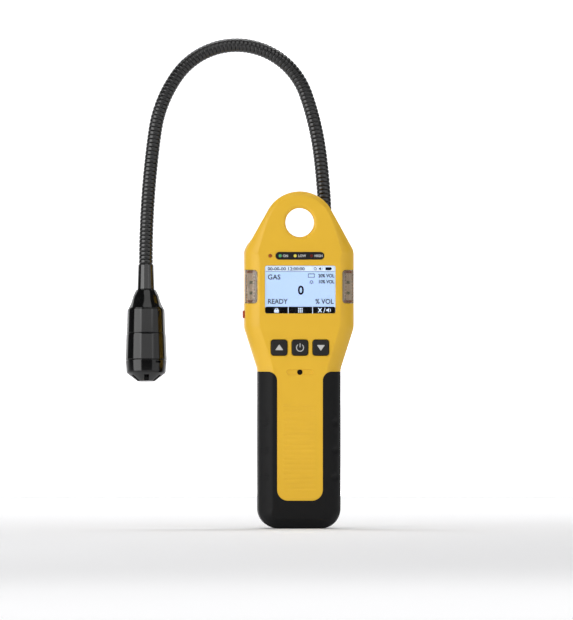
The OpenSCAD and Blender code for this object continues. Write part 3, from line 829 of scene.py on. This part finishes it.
def lamp(name, node, x, radius, proud):
    foot, board = 3.9, 9.9
    r = radius * MM
    profile = [
        (r + 0.0006, board * MM), (r + 0.0006, foot * MM), (r, foot * MM), (r, 0.0001),
        (r * 0.93, -proud * MM * 0.45), (r * 0.75, -proud * MM * 0.75),
        (r * 0.45, -proud * MM * 0.95), (r * 0.12, -proud * MM),
    ]
    piece = turned_solid(name, profile, sides=40, origin=at(x, 0, strip_h), axis=Vector((0, 1, 0)))
    smooth_edges(piece, 50)
    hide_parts(node)
    return piece


lamps = {
    "green_light": lamp("green_lamp", "led_green", led_at[0], 0.95, 0.14),
    "yellow_light": lamp("yellow_lamp", "led_yellow", led_at[1], 0.95, 0.14),
    "red_light": lamp("red_lamp", "led_red", led_at[2], 0.95, 0.14),
    "amber_light": lamp("charge_lamp", "charge_light", charge_at, 1.15, 0.14),
}
strip_ink = fuse("strip_ink", [
    words("on_word", "ON", led_at[0] + 1.7, strip_h - 0.75, 1.5, -0.055),
    words("low_word", "LOW", led_at[1] + 1.9, strip_h - 0.75, 1.5, -0.055),
    words("high_word", "HIGH", led_at[2] + 1.9, strip_h - 0.75, 1.5, -0.055),
])
print("lamps", len(lamps))

# %% [markdown]
# ## Keys
#
# The three keys are moulded in black silicone. Each has a rolled edge and a face that is very
# slightly crowned, a thin flange that holds it behind the wall, and a post that reaches the switch.
# The signs are printed in grey on the crown: up, power and down.

# %% Keys
def key(name, node, k):
    x = k * key_pitch
    cap = layers(
        name, box_line(x, key_h, key_w, key_t, 1.7, step=0.002, arc_step=0.00025),
        [(-0.5, 3.1), (-0.5, 2.35), (0, 2.3), (0, -0.25), (0.06, -0.47), (0.2, -0.66),
         (0.42, -0.77), (0.8, -0.84), (1.4, -0.88)],
    )
    post = rod(x, key_h, 2.8, 6.2, 1.6)
    cap = carve(cap, [post], "UNION")
    cap.name = name
    smooth_edges(cap, 50)
    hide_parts(node)
    return cap


keys = {
    "up_key": key("up_button", "up_key", -1),
    "power_key": key("power_button", "power_key", 0),
    "down_key": key("down_button", "down_key", 1),
}
S0, S1 = -0.915, -0.86


def sign(name, points):
    line = rounded([(x * MM, FOOT + h * MM, 0.25 * MM) for x, h in points], 0.003, 0.0002)
    return layers(name, line, [(0, S1), (0, S0)])


signs = {
    "up_key": sign("up_sign", [
        (-key_pitch - 2.6, key_h - 1.6), (-key_pitch + 2.6, key_h - 1.6), (-key_pitch, key_h + 2.1),
    ]),
    "down_key": sign("down_sign", [
        (key_pitch + 2.6, key_h + 1.7), (key_pitch - 2.6, key_h + 1.7), (key_pitch, key_h - 2.0),
    ]),
    "power_key": fuse("power_sign", [
        arc_chip("ring", 0, key_h, 2.0, 2.55, 125, 415, S0, S1, 40),
        bar("stroke", 0, key_h + 1.5, 0.55, 2.6, S0, S1),
    ]),
}
print("keys", list(keys))

# %% [markdown]
# ## Side button
#
# A small red button stands out of the left wall. It has a flange inside, so it can be pressed but not
# lost, and its outer edge is rounded for the finger.

# %% Side button
def side_rings(pairs):
    """Rings of the button's rounded rectangle: (inset, distance out from the middle) in millimetres."""
    line = box_line(0, 0, 6.0, 5.0, 1.2, step=0.002, arc_step=0.00025)
    middle = Vector((0, FRONT + button_depth * MM, FOOT + button_h * MM))
    rings = []
    for inset, x in pairs:
        ring = []
        for p, n in line:
            sideways, upward = p.x + n.x * inset * MM, p.y - FOOT + n.y * inset * MM
            ring.append(middle + Vector((-x, sideways / MM, upward / MM)) * MM)
        rings.append(ring)
    return rings


side_key = fuse("side_red_button", [
    stack("cap", side_rings([(0.0, 32.6), (0.0, 35.7), (0.08, 35.95), (0.25, 36.13), (0.5, 36.2)])),
    stack("flange", side_rings([(-0.4, 31.9), (-0.4, 32.7)])),
])
smooth_edges(side_key, 50)
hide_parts("side_button")

# %% [markdown]
# ## Charging plug and screws
#
# A soft plug fills the charging opening in the foot. It has a rounded plate, a tongue that grips the
# socket and is drawn out straight down. The screws are socket heads sunk in their wells.

# %% Plug and screws
def plan_rings(x0, x1, d0, d1, radius, pairs):
    """Rings lying flat: a rounded rectangle seen from above, at (inset, height) pairs."""
    corners = [(x0, d0), (x1, d0), (x1, d1), (x0, d1)]
    line = rounded([(x * MM, d * MM, radius * MM) for x, d in corners], 0.002, 0.0003)
    rings = []
    for inset, h in pairs:
        rings.append([Vector((p.x + n.x * inset * MM, FRONT + p.y + n.y * inset * MM, FOOT + h * MM)) for p, n in line])
    return rings


plug = fuse("charging_plug", [
    stack("plate", plan_rings(-6, 6, 21.6, 28.4, 1.0, [(0.5, 0.1), (0.2, 0.18), (0, 0.45), (0, 2.3)])),
    stack("tongue", plan_rings(-3.5, 3.5, 24.1, 25.9, 0.5, [(0, 2.25), (0, 6.7), (0.25, 7.0)])),
])
smooth_edges(plug, 50)
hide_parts("charge_port_plug")

screws = []
for x, h in screw_spots:
    top = back_mm - 3.8
    head = turned_solid(
        "screw_head",
        [(1.25 * MM, (split_mm - 8.8) * MM), (1.25 * MM, (top - 2.2) * MM), (2.55 * MM, (top - 2.2) * MM),
         (2.6 * MM, (top - 0.5) * MM), (2.45 * MM, (top - 0.15) * MM), (2.1 * MM, top * MM)],
        sides=48, origin=at(x, 0, h), axis=Vector((0, 1, 0)),
    )
    socket = rod(x, h, top - 1.1, top + 1, 1.3, sides=6)
    screws.append(carve(head, [socket]))
screw_set = fuse("housing_screw_set", screws)
smooth_edges(screw_set, 30)
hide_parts("housing_screws")
print("screws", len(screw_spots))

# %% [markdown]
# ## Gland
#
# Where the gooseneck leaves the shelf a turned collar clamps it. Its flange seats in the recess, its
# top tapers in to the neck, and its threaded tail goes down through the wall to a nut.

# %% Gland
gland = turned_tube(
    "gland_collar",
    [(r * MM, h * MM) for r, h in [
        (4.6, -13.6), (6.0, -13.6), (6.0, -1.4), (7.3, -1.4), (7.4, -1.2), (7.4, 2.3), (7.25, 2.75), (6.95, 3.3),
        (5.95, 5.55), (5.65, 5.9), (5.3, 6.0), (4.75, 5.95), (4.6, 5.7),
    ]],
    sides=96, origin=gland_foot, axis=NECK_UP,
)
smooth_edges(gland, 30)
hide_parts("neck_gland")
print("gland at", [round(c, 4) for c in gland_foot])

# %% [markdown]
# ## The gooseneck's line
#
# The design bends the neck at six places, so the joints already give six points of its centre line.
# Between two of them the neck is an arc, whose radius follows from the chord and from the change of
# heading. Rebuilding the arcs from the joints keeps the skin centred on the parts that move it.

# %% Gooseneck line
stops = [gland_foot] + [Vector(j["pos_m"]) for j in frame["joints"] if j["name"].startswith("neck_")]
headings = [math.radians(a) for a in (0, 6.8, 19.2, 84, 144.7, 171.9, 176, 180)]
LEFT = Vector((-1, 0, 0))


def heading(angle):
    return NECK_UP * math.cos(angle) + LEFT * math.sin(angle)


last_turn = headings[7] - headings[6]
last_arc = 610 * MM
stops.append(stops[6] + heading((headings[6] + headings[7]) / 2) * 2 * last_arc * math.sin(last_turn / 2))
route = []
lengths = [0.0]
STEP = 0.65 * MM
root_run, tail_run = 13 * MM, 12 * MM


def add_run(points):
    for place, angle in points:
        if route:
            lengths.append(lengths[-1] + (place - route[-1][0]).length)
        route.append((place, angle))


count = round(root_run / STEP)
add_run([(stops[0] - NECK_UP * root_run * (1 - k / count), 0.0) for k in range(count)])
section_start = []
for i in range(7):
    a0, a1 = headings[i], headings[i + 1]
    radius = (stops[i + 1] - stops[i]).length / (2 * math.sin((a1 - a0) / 2))
    sideways = NECK_UP * -math.sin(a0) + LEFT * math.cos(a0)
    centre = stops[i] + sideways * radius
    count = round(radius * (a1 - a0) / STEP)
    section_start.append(len(route))
    run = []
    for k in range(count):
        angle = a0 + (a1 - a0) * k / count
        normal = NECK_UP * -math.sin(angle) + LEFT * math.cos(angle)
        run.append((centre - normal * radius, angle))
    add_run(run)
section_start.append(len(route))
count = round(tail_run / STEP)
add_run([(stops[7] + heading(math.pi) * tail_run * k / count, math.pi) for k in range(count + 1)])
print("neck length", round(lengths[-1], 4), "stations", len(route))

# %% [markdown]
# ## The gooseneck's skin
#
# A gooseneck is wound from a round wire with a wedge wire pressed between its turns, so its surface
# is a row of rounded crests with narrow valleys, two and a half millimetres apart. The skin is made
# in six lengths. Each runs from the middle of one section to the middle of the next and bends smoothly
# about the joint between them, with the rings of neighbouring lengths exactly matched at a valley.

# %% Gooseneck skin
PITCH_STATIONS = 4
CREST, VALLEY = 4.5 * MM, 4.02 * MM
SIDES = 40
across_plane = LEFT.cross(NECK_UP).normalized()


def ring_at(index, radius):
    place, angle = route[index]
    normal = NECK_UP * -math.sin(angle) + LEFT * math.cos(angle)
    return [
        place + (normal * math.cos(t) + across_plane * math.sin(t)) * radius
        for t in (2 * math.pi * k / SIDES for k in range(SIDES))
    ]


def mid_ring(index, share, radius):
    (p0, a0), (p1, a1) = route[index], route[min(index + 1, len(route) - 1)]
    angle = a0 + (a1 - a0) * share
    place = p0.lerp(p1, share)
    normal = NECK_UP * -math.sin(angle) + LEFT * math.cos(angle)
    return [
        place + (normal * math.cos(t) + across_plane * math.sin(t)) * radius
        for t in (2 * math.pi * k / SIDES for k in range(SIDES))
    ]


def crest_radius(phase):
    """Radius through one turn: phase 0 and 1 are valleys."""
    across = abs(2 * phase - 1)
    return VALLEY + (CREST - VALLEY) * max(0.0, 1 - across ** 5.0) ** 0.5


middles = [(section_start[i] + section_start[i + 1]) // 2 for i in range(7)]
cuts = [0] + [m - m % PITCH_STATIONS for m in middles[1:6]] + [(len(route) - 1) - (len(route) - 1) % PITCH_STATIONS]
neck_lengths = []
for k in range(6):
    first, last = cuts[k], cuts[k + 1]
    rings = []
    steps = 8
    for turn_start in range(first, last, PITCH_STATIONS):
        for q in range(steps):
            phase = q / steps
            station = turn_start + phase * PITCH_STATIONS
            index = int(station)
            rings.append(mid_ring(index, station - index, crest_radius(phase)))
    rings.append(ring_at(last, crest_radius(0)))
    length = stack("gooseneck_%d" % (k + 1), rings)
    smooth_edges(length, 62, weighted=False)
    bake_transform(length)
    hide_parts("neck_section_%d" % (k + 1))
    neck_lengths.append(length)
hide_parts("neck_section_7")
print("gooseneck lengths", [len(piece.data.polygons) for piece in neck_lengths])

# %% [markdown]
# ## Sensor head
#
# The head is a row of turned parts on one axis. A ferrule grips the neck, a collar flares out from
# it, and a barrel, a sensor housing and a cap screw together with fine seams between. Each profile is
# drawn from the outside edge inward with its corners broken, since a sharp edge would show no glint.

# %% Sensor head
head_top = stops[7]
DOWN = heading(math.pi)
FERRULE, COLLAR, BARREL, SENSOR, CAP = 16.0, 12.4, 15.7, 17.1, 13.6
collar_at = FERRULE + 0.3
barrel_at = collar_at + COLLAR
sensor_at = barrel_at + BARREL
cap_at = sensor_at + SENSOR


def head_part(name, node, pairs, sides=128, angle=28):
    profile = [(r * MM, d * MM) for r, d in pairs]
    piece = turned_tube(name, profile, sides=sides, origin=head_top, axis=DOWN, across=LEFT)
    smooth_edges(piece, angle)
    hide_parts(node)
    return piece


ferrule = head_part("ferrule", "neck_ferrule", [
    (4.5, 0.4), (4.6, 0.1), (4.75, 0.02), (4.88, 0.2), (4.95, 0.6), (5.05, 4.0), (5.5, FERRULE - 0.6),
    (5.5, FERRULE - 0.2), (5.3, FERRULE), (5.05, FERRULE + 0.15), (5.05, FERRULE + 2.3), (2.0, FERRULE + 2.3),
    (2.0, 12.1), (4.5, 12.1),
])
collar = head_part("collar", "head_collar", [
    (5.6, collar_at + 0.3), (5.75, collar_at + 0.05), (6.15, collar_at + 0.05), (6.7, collar_at + 0.85),
    (7.25, collar_at + 1.95), (7.75, collar_at + 2.95), (8.25, collar_at + 4.05), (8.8, collar_at + 6.0),
    (9.35, collar_at + 8.0), (9.95, collar_at + 9.5), (10.55, collar_at + 10.8), (11.1, collar_at + 11.65),
    (11.28, collar_at + 12.0), (11.28, barrel_at - 0.1), (11.1, barrel_at), (9.4, barrel_at), (9.4, barrel_at + 3),
    (7.6, barrel_at + 3), (7.6, barrel_at - 4), (5.6, collar_at + 2.4),
])
barrel = head_part("barrel", "head_barrel", [
    (9.45, barrel_at + 0.05), (11.45, barrel_at + 0.05), (11.8, barrel_at + 0.2), (11.95, barrel_at + 0.7),
    (12.42, sensor_at - 0.35), (12.3, sensor_at - 0.08), (12.1, sensor_at), (10.6, sensor_at), (10.6, sensor_at + 3),
    (8.8, sensor_at + 3), (8.8, sensor_at - 3), (9.45, sensor_at - 4),
])
sensor_body = head_part("sensor_body", "sensor_housing", [
    (11.15, sensor_at + 0.05), (12.2, sensor_at + 0.05), (12.45, sensor_at + 0.2), (12.52, sensor_at + 0.5),
    (12.65, sensor_at + 1.2), (13.2, cap_at - 0.9), (13.25, cap_at - 0.4), (13.1, cap_at - 0.08), (12.9, cap_at),
    (11.75, cap_at), (11.75, sensor_at + 6), (11.15, sensor_at + 4),
])

# %% [markdown]
# ## Sensor cap
#
# The cap's cone has six slots, one facing front, that let air through to the filter, and a small
# notch in its wall for a key. The slots are cut through a hollow cap, so they are truly dark inside.

# %% Sensor cap
cap = turned_tube(
    "cap",
    [(r * MM, d * MM) for r, d in [
        (11.4, cap_at - 3), (11.4, cap_at + 0.3), (12.8, cap_at + 0.3), (13.05, cap_at + 0.42), (13.13, cap_at + 0.75),
        (12.62, cap_at + 7.4), (12.5, cap_at + 8.0), (12.1, cap_at + 8.55), (5.7, cap_at + CAP - 0.25),
        (5.0, cap_at + CAP), (0, cap_at + CAP), (0, cap_at + 2.6), (4.4, cap_at + 2.6), (4.4, cap_at + CAP - 1.4),
        (10.9, cap_at + 7.6), (10.9, cap_at + 1), (10, cap_at), (10, cap_at - 3),
    ]],
    sides=128, origin=head_top, axis=DOWN, across=LEFT,
)
FRONTWARD = DOWN.cross(LEFT)
if FRONTWARD.y > 0:
    FRONTWARD = -FRONTWARD
SIDEWARD = FRONTWARD.cross(DOWN).normalized()
if SIDEWARD.x < 0:
    SIDEWARD = -SIDEWARD


def head_slot(angle, r0, r1, half, d0, d1):
    """A rectangular cutter reaching out from the head's axis; angle 0 faces front, positive to the right."""
    t = math.radians(angle)
    out = FRONTWARD * math.cos(t) + SIDEWARD * math.sin(t)
    wide = out.cross(DOWN).normalized()
    corners = [(-1, d0), (1, d0), (1, d1), (-1, d1)]
    rings = []
    for r in (r0, r1):
        centre = head_top + out * r * MM
        rings.append([centre + wide * (s * half * MM) + DOWN * (d * MM) for s, d in corners])
    return stack("slot", rings)


slots = [head_slot(60 * k, 5.4, 10.4, 1.5 if k == 0 else 1.1, cap_at + 8.4, cap_at + CAP + 1) for k in range(6)]
slots.append(head_slot(35, 10, 14, 2.0, cap_at + 1.1, cap_at + 2.4))
cap = carve(cap, [fuse("slots", slots)])
cap.name = "sensor_cap_ring"
smooth_edges(cap, 28)
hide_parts("sensor_cap")
print("cap", len(cap.data.polygons))

# %% [markdown]
# ## What moves with what
#
# Each visible piece rides on the body of the design model that its part belongs to. The gooseneck's
# lengths ride on no body, so they are not in this list.

# %% Bodies
root_pieces = [
    front_plastic, front_rubber, rear_plastic, rear_rubber, window, screen, top_bar, key_bar, screen_ink, key_bar_ink,
    strip, strip_ink, screw_set, gland,
] + [piece for pieces in lenses.values() for piece in pieces.values()] + list(lamps.values())
for piece in root_pieces:
    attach(piece, "root")
for node, piece in keys.items():
    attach(piece, node)
    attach(signs[node], node)
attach(side_key, "side_button")
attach(plug, "charge_plug")
for piece in (ferrule, collar, barrel, sensor_body, cap):
    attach(piece, "sensor_head")
print("riding on root", len(root_pieces))

# %% [markdown]
# ## Finishes
#
# Every finish is made from noise in the object's own space, so it needs no image. A broad, faint
# mottle keeps a moulded colour from looking flat, and a fine grain in the surface breaks up its
# reflections, as the spark-eroded texture of a mould does. Glossy parts have almost no grain.

# %% Finishes
def rgb(red, green, blue):
    def linear(c):
        c /= 255
        return c / 12.92 if c <= 0.04045 else ((c + 0.055) / 1.055) ** 2.4

    return (linear(red), linear(green), linear(blue), 1.0)


def finish(name, low, high, rough=0.5, mottle=60.0, grain=2500.0, depth=0.00002, stretch=(1, 1, 1), glow=0.0, **extra):
    """A procedural finish that wanders between two close colours with a fine surface grain."""
    material = bpy.data.materials.new(name)
    material.use_nodes = True
    nodes, links = material.node_tree.nodes, material.node_tree.links
    shader = nodes["Principled BSDF"]
    place = nodes.new("ShaderNodeTexCoord")
    spread = nodes.new("ShaderNodeMapping")
    spread.inputs["Scale"].default_value = stretch
    links.new(place.outputs["Object"], spread.inputs["Vector"])
    broad = nodes.new("ShaderNodeTexNoise")
    broad.inputs["Scale"].default_value = mottle
    broad.inputs["Detail"].default_value = 4.0
    links.new(spread.outputs["Vector"], broad.inputs["Vector"])
    blend = nodes.new("ShaderNodeMix")
    blend.data_type = "RGBA"
    blend.inputs["A"].default_value = rgb(*low)
    blend.inputs["B"].default_value = rgb(*high)
    links.new(broad.outputs["Fac"], blend.inputs["Factor"])
    links.new(blend.outputs["Result"], shader.inputs["Base Color"])
    if glow:
        links.new(blend.outputs["Result"], shader.inputs["Emission Color"])
        shader.inputs["Emission Strength"].default_value = glow
    fine = nodes.new("ShaderNodeTexNoise")
    fine.inputs["Scale"].default_value = grain
    fine.inputs["Detail"].default_value = 2.0
    links.new(spread.outputs["Vector"], fine.inputs["Vector"])
    bump = nodes.new("ShaderNodeBump")
    bump.inputs["Strength"].default_value = 0.6
    bump.inputs["Distance"].default_value = depth
    links.new(fine.outputs["Fac"], bump.inputs["Height"])
    links.new(bump.outputs["Normal"], shader.inputs["Normal"])
    shader.inputs["Roughness"].default_value = rough
    for socket, value in extra.items():
        shader.inputs[socket.replace("_", " ")].default_value = value
    return material


LOOKS = {
    "yellow_plastic": ((224, 176, 40), (230, 182, 46), dict(rough=0.42, depth=0.000012, Specular_IOR_Level=0.4)),
    "grip_rubber": ((12, 12, 13), (16, 16, 17), dict(rough=0.5, depth=0.00002, Specular_IOR_Level=0.18)),
    "seal_rubber": ((40, 40, 41), (46, 46, 47), dict(rough=0.6)),
    "key_rubber": ((24, 23, 22), (30, 29, 28), dict(rough=0.45, depth=0.00001, Specular_IOR_Level=0.3)),
    "window_glass": ((250, 252, 255), (245, 250, 255),
                     dict(rough=0.02, depth=0.0000005, Transmission_Weight=1.0, IOR=1.30)),
    "lcd": ((196, 219, 247), (199, 222, 249), dict(rough=0.3, depth=0.0, glow=0.45)),
    "backlight": ((232, 238, 244), (238, 243, 248), dict(rough=0.5)),
    "black_plastic": ((22, 20, 19), (27, 25, 24), dict(rough=0.35, depth=0.000008, Specular_IOR_Level=0.3)),
    "green_light": ((70, 150, 90), (95, 175, 110), dict(rough=0.2, depth=0.000002, glow=0.25)),
    "yellow_light": ((205, 190, 70), (225, 210, 95), dict(rough=0.2, depth=0.000002, glow=0.25)),
    "red_light": ((95, 22, 18), (120, 30, 24), dict(rough=0.2, depth=0.000002)),
    "amber_light": ((150, 72, 12), (172, 86, 20), dict(rough=0.3, depth=0.000002)),
    "alarm_lens": ((238, 224, 208), (246, 234, 220),
                   dict(rough=0.08, depth=0.000002, Transmission_Weight=0.92, IOR=1.40)),
    "reflector": ((214, 205, 192), (232, 224, 212), dict(rough=0.35, mottle=900.0)),
    "emitter": ((84, 108, 84), (100, 122, 98), dict(rough=0.25)),
    "amber_pad": ((140, 74, 22), (158, 88, 30), dict(rough=0.4)),
    "white_plastic": ((215, 212, 204), (228, 225, 218), dict(rough=0.45)),
    "switch_plastic": ((60, 60, 62), (70, 70, 72), dict(rough=0.5)),
    "red_button": ((150, 44, 14), (168, 54, 20), dict(rough=0.45)),
    "circuit_board": ((16, 84, 52), (24, 98, 62), dict(rough=0.5, mottle=300.0)),
    "cell_wrap": ((48, 110, 170), (56, 120, 182), dict(rough=0.35)),
    "steel": ((150, 150, 152), (172, 172, 174), dict(rough=0.3, stretch=(1, 1, 12), Metallic=1.0)),
    "nickel": ((176, 172, 160), (196, 192, 180), dict(rough=0.25, Metallic=1.0)),
    "gloss_black": ((3, 3, 4), (5, 5, 6), dict(rough=0.12, depth=0.000001, Specular_IOR_Level=0.45)),
    "satin_black": ((4, 4, 5), (7, 7, 8), dict(rough=0.16, depth=0.000003, Specular_IOR_Level=0.7)),
    "neck_black": ((3, 3, 4), (5, 5, 6), dict(rough=0.22, depth=0.000002, Specular_IOR_Level=0.7)),
    "cable_grey": ((84, 84, 86), (96, 96, 98), dict(rough=0.6)),
    "filter_felt": ((48, 48, 50), (60, 60, 62), dict(rough=0.95, grain=1800.0, depth=0.0001)),
    "screen_dark": ((10, 12, 26), (16, 18, 36), dict(rough=0.6, depth=0.0, Specular_IOR_Level=0.1)),
    "screen_pale": ((222, 234, 250), (226, 238, 252), dict(rough=0.5, depth=0.0, glow=0.5)),
    "key_bar_black": ((5, 6, 10), (9, 10, 14), dict(rough=0.6, depth=0.0, Specular_IOR_Level=0.1)),
    "sign_grey": ((184, 184, 182), (196, 196, 194), dict(rough=0.5, depth=0.000004)),
}
finishes = {name: finish(name, low, high, **look) for name, (low, high, look) in LOOKS.items()}
print("finishes", len(finishes))

# %% [markdown]
# ## Giving each piece its finish
#
# New pieces are painted by what they are made of. The parts of the design model that stay as they are,
# such as the board, the cells and the seals, take the finish of the material that the record gives
# them, so that nothing inside is left as a flat colour.

# %% Paint
def paint(piece, slot_name, finish_name=None):
    piece.data.materials.clear()
    piece.data.materials.append(finishes[finish_name or slot_name])
    for polygon in piece.data.polygons:
        polygon.material_index = 0


painted = {
    "yellow_plastic": [front_plastic, rear_plastic],
    "grip_rubber": [front_rubber, rear_rubber],
    "window_glass": [window],
    "lcd": [screen],
    "black_plastic": [strip],
    "key_rubber": list(keys.values()),
    "red_button": [side_key],
    "seal_rubber": [plug],
    "steel": [screw_set],
    "satin_black": [gland, ferrule],
    "gloss_black": [collar, barrel, sensor_body, cap],
    "neck_black": neck_lengths,
    "alarm_lens": [pieces["body"] for pieces in lenses.values()],
}
for slot_name, pieces in painted.items():
    for piece in pieces:
        paint(piece, slot_name)
for slot_name, piece in lamps.items():
    paint(piece, slot_name)
paint(screen_ink, "lcd", "screen_dark")
paint(top_bar, "lcd", "screen_pale")
paint(key_bar, "lcd", "key_bar_black")
paint(key_bar_ink, "lcd", "screen_pale")
paint(strip_ink, "black_plastic", "sign_grey")
for pieces in lenses.values():
    paint(pieces["reflector"], "alarm_lens", "reflector")
    paint(pieces["emitters"], "alarm_lens", "emitter")
    paint(pieces["ends"], "alarm_lens", "amber_pad")
for piece in signs.values():
    paint(piece, "key_rubber", "sign_grey")
print("painted", sum(len(pieces) for pieces in painted.values()))

# %% [markdown]
# ## The design model's own parts
#
# Seals, boards, cells and other parts that have no skin of their own here are seen through the window,
# the lenses and the openings, so each of them gets the finish of its real material too.

# %% Paint the design model's own parts
own = {
    "seal_rubber": ["housing_seal", "gland_seal", "head_seal"],
    "lcd": ["lcd_panel"],
    "backlight": ["lcd_backlight"],
    "white_plastic": ["alarm_leds"],
    "key_rubber": ["key_web"],
    "switch_plastic": ["key_switches", "side_switch"],
    "circuit_board": ["main_board", "sensor_board"],
    "cell_wrap": ["battery_cells"],
    "black_plastic": ["battery_holder", "buzzer"],
    "steel": ["vibration_motor", "charge_socket", "sensor_element"],
    "nickel": ["gland_nut"],
    "cable_grey": ["sensor_cable_%d" % k for k in range(1, 8)],
    "filter_felt": ["dust_filter"],
}
shown = [n for n, o in frame["nodes"].items() if not o.hide_render]
for slot_name, names in own.items():
    for name in names:
        frame["nodes"][name].data.materials.clear()
        frame["nodes"][name].data.materials.append(finishes[slot_name])
listed = [name for names in own.values() for name in names]
print("left without a new finish:", sorted(set(shown) - set(listed)))

# %% [markdown]
# ## Floor and backdrop
#
# The object stands on a plain pale floor. Behind, the floor runs on as a white backdrop that bends up
# a long way off, so it is out of the way when the object is turned round to be seen from the back.

# %% Floor
def sheet(name, width, profile):
    """A sheet as wide as asked that follows (y, z) points from front to back."""
    bm = bmesh.new()
    rows = [[bm.verts.new((x, y, z)) for y, z in profile] for x in (-width / 2, width / 2)]
    for i in range(len(profile) - 1):
        bm.faces.new((rows[0][i], rows[1][i], rows[1][i + 1], rows[0][i + 1]))
    piece = finish_mesh(name, bm)
    piece.data.polygons.foreach_set("use_smooth", [True] * len(piece.data.polygons))
    return piece


FLOOR_FRONT, FLOOR_BACK, WALL, BEND = -2.8, 1.4, 12.0, 0.5
sweep_line = [(FLOOR_BACK, FOOT)]
for k in range(13):
    turn = math.pi / 2 * k / 12
    sweep_line.append((WALL - BEND + BEND * math.sin(turn), FOOT + BEND * (1 - math.cos(turn))))
sweep_line.append((WALL, FOOT + 1.4))
floor = sheet("pale_floor", 9.0, [(FLOOR_FRONT, FOOT), (FLOOR_BACK, FOOT)])
backdrop = sheet("pale_backdrop", 9.0, sweep_line)
pale = dict(rough=0.7, mottle=3.0, grain=60.0, depth=0.0002)
floor.data.materials.append(finish("floor_paint", (246, 246, 247), (249, 249, 250), **pale))
backdrop.data.materials.append(finish("backdrop_paint", (246, 246, 247), (249, 249, 250), glow=1.0, **pale))

# %% [markdown]
# ## Soft lights
#
# Large flat lights give the rolled edges their slow change of tone and leave two upright bands on the
# glossy sensor head. The left one is the strongest. Two more stand behind, so the back is lit as well.

# %% Light
def soft_light(name, place, target, width, height, watts):
    data = bpy.data.lights.new(name, "AREA")
    data.shape = "RECTANGLE"
    data.size, data.size_y = width, height
    data.energy = watts
    lamp_object = bpy.data.objects.new(name, data)
    bpy.context.scene.collection.objects.link(lamp_object)
    lamp_object.location = place
    lamp_object.rotation_euler = (Vector(target) - Vector(place)).to_track_quat("-Z", "Y").to_euler()
    return lamp_object


soft_light("left_panel", (-1.08, -0.70, 0.0), (-0.04, 0.0, -0.05), 1.1, 1.3, 15.0)
soft_light("right_panel", (1.02, -0.78, 0.0), (-0.04, 0.0, -0.05), 1.1, 1.3, 4.3)
soft_light("top_panel", (0.1, -0.80, 1.10), (0, 0, -0.05), 1.2, 1.0, 6.0)
soft_light("backdrop_light", (0.0, 0.7, 1.6), (0.0, 2.0, 0.0), 2.4, 0.8, 40.0)
for side, name in ((-1, "back_panel_left"), (1, "back_panel_right")):
    soft_light(name, (side * 1.3, 1.6, 0.5), (0, 0, -0.05), 1.0, 1.2, 7.0)
soft_light("floor_light", (0.0, -2.2, 0.45), (0.0, -2.2, -0.196), 3.0, 1.6, 20.0)
world = bpy.data.worlds.new("studio")
world.use_nodes = True
world.node_tree.nodes["Background"].inputs["Color"].default_value = (1.0, 1.0, 1.0, 1.0)
world.node_tree.nodes["Background"].inputs["Strength"].default_value = 0.08
bpy.context.scene.world = world
bpy.context.scene.view_settings.view_transform = "Standard"

# %% [markdown]
# ## Camera
#
# The view is almost square on, from a little to the left, with a long lens that keeps the housing's
# sides parallel. The aim is beside the middle of the housing, so the arch of the neck fits in.

# %% Camera
AZIMUTH = math.radians(2.4)
DISTANCE = 8.0
VIEW_HEIGHT = 0.3968
aim = Vector((-0.00864, FRONT, -0.0560))
camera_data = bpy.data.cameras.new("camera")
camera_data.sensor_width = 36.0
camera_data.lens = 36.0 * DISTANCE / VIEW_HEIGHT
camera_data.dof.use_dof = False
camera_data.clip_start, camera_data.clip_end = 0.05, 60.0
camera = bpy.data.objects.new("camera", camera_data)
bpy.context.scene.collection.objects.link(camera)
camera.location = aim + Vector((-math.sin(AZIMUTH), -math.cos(AZIMUTH), 0)) * DISTANCE
camera.rotation_euler = (math.pi / 2, 0, -AZIMUTH)
bpy.context.scene.camera = camera
print("lens", round(camera_data.lens, 1))

# %% [markdown]
# ## Last update
#
# The view layer is brought up to date at the end.

# %% Last update
bpy.context.view_layer.update()
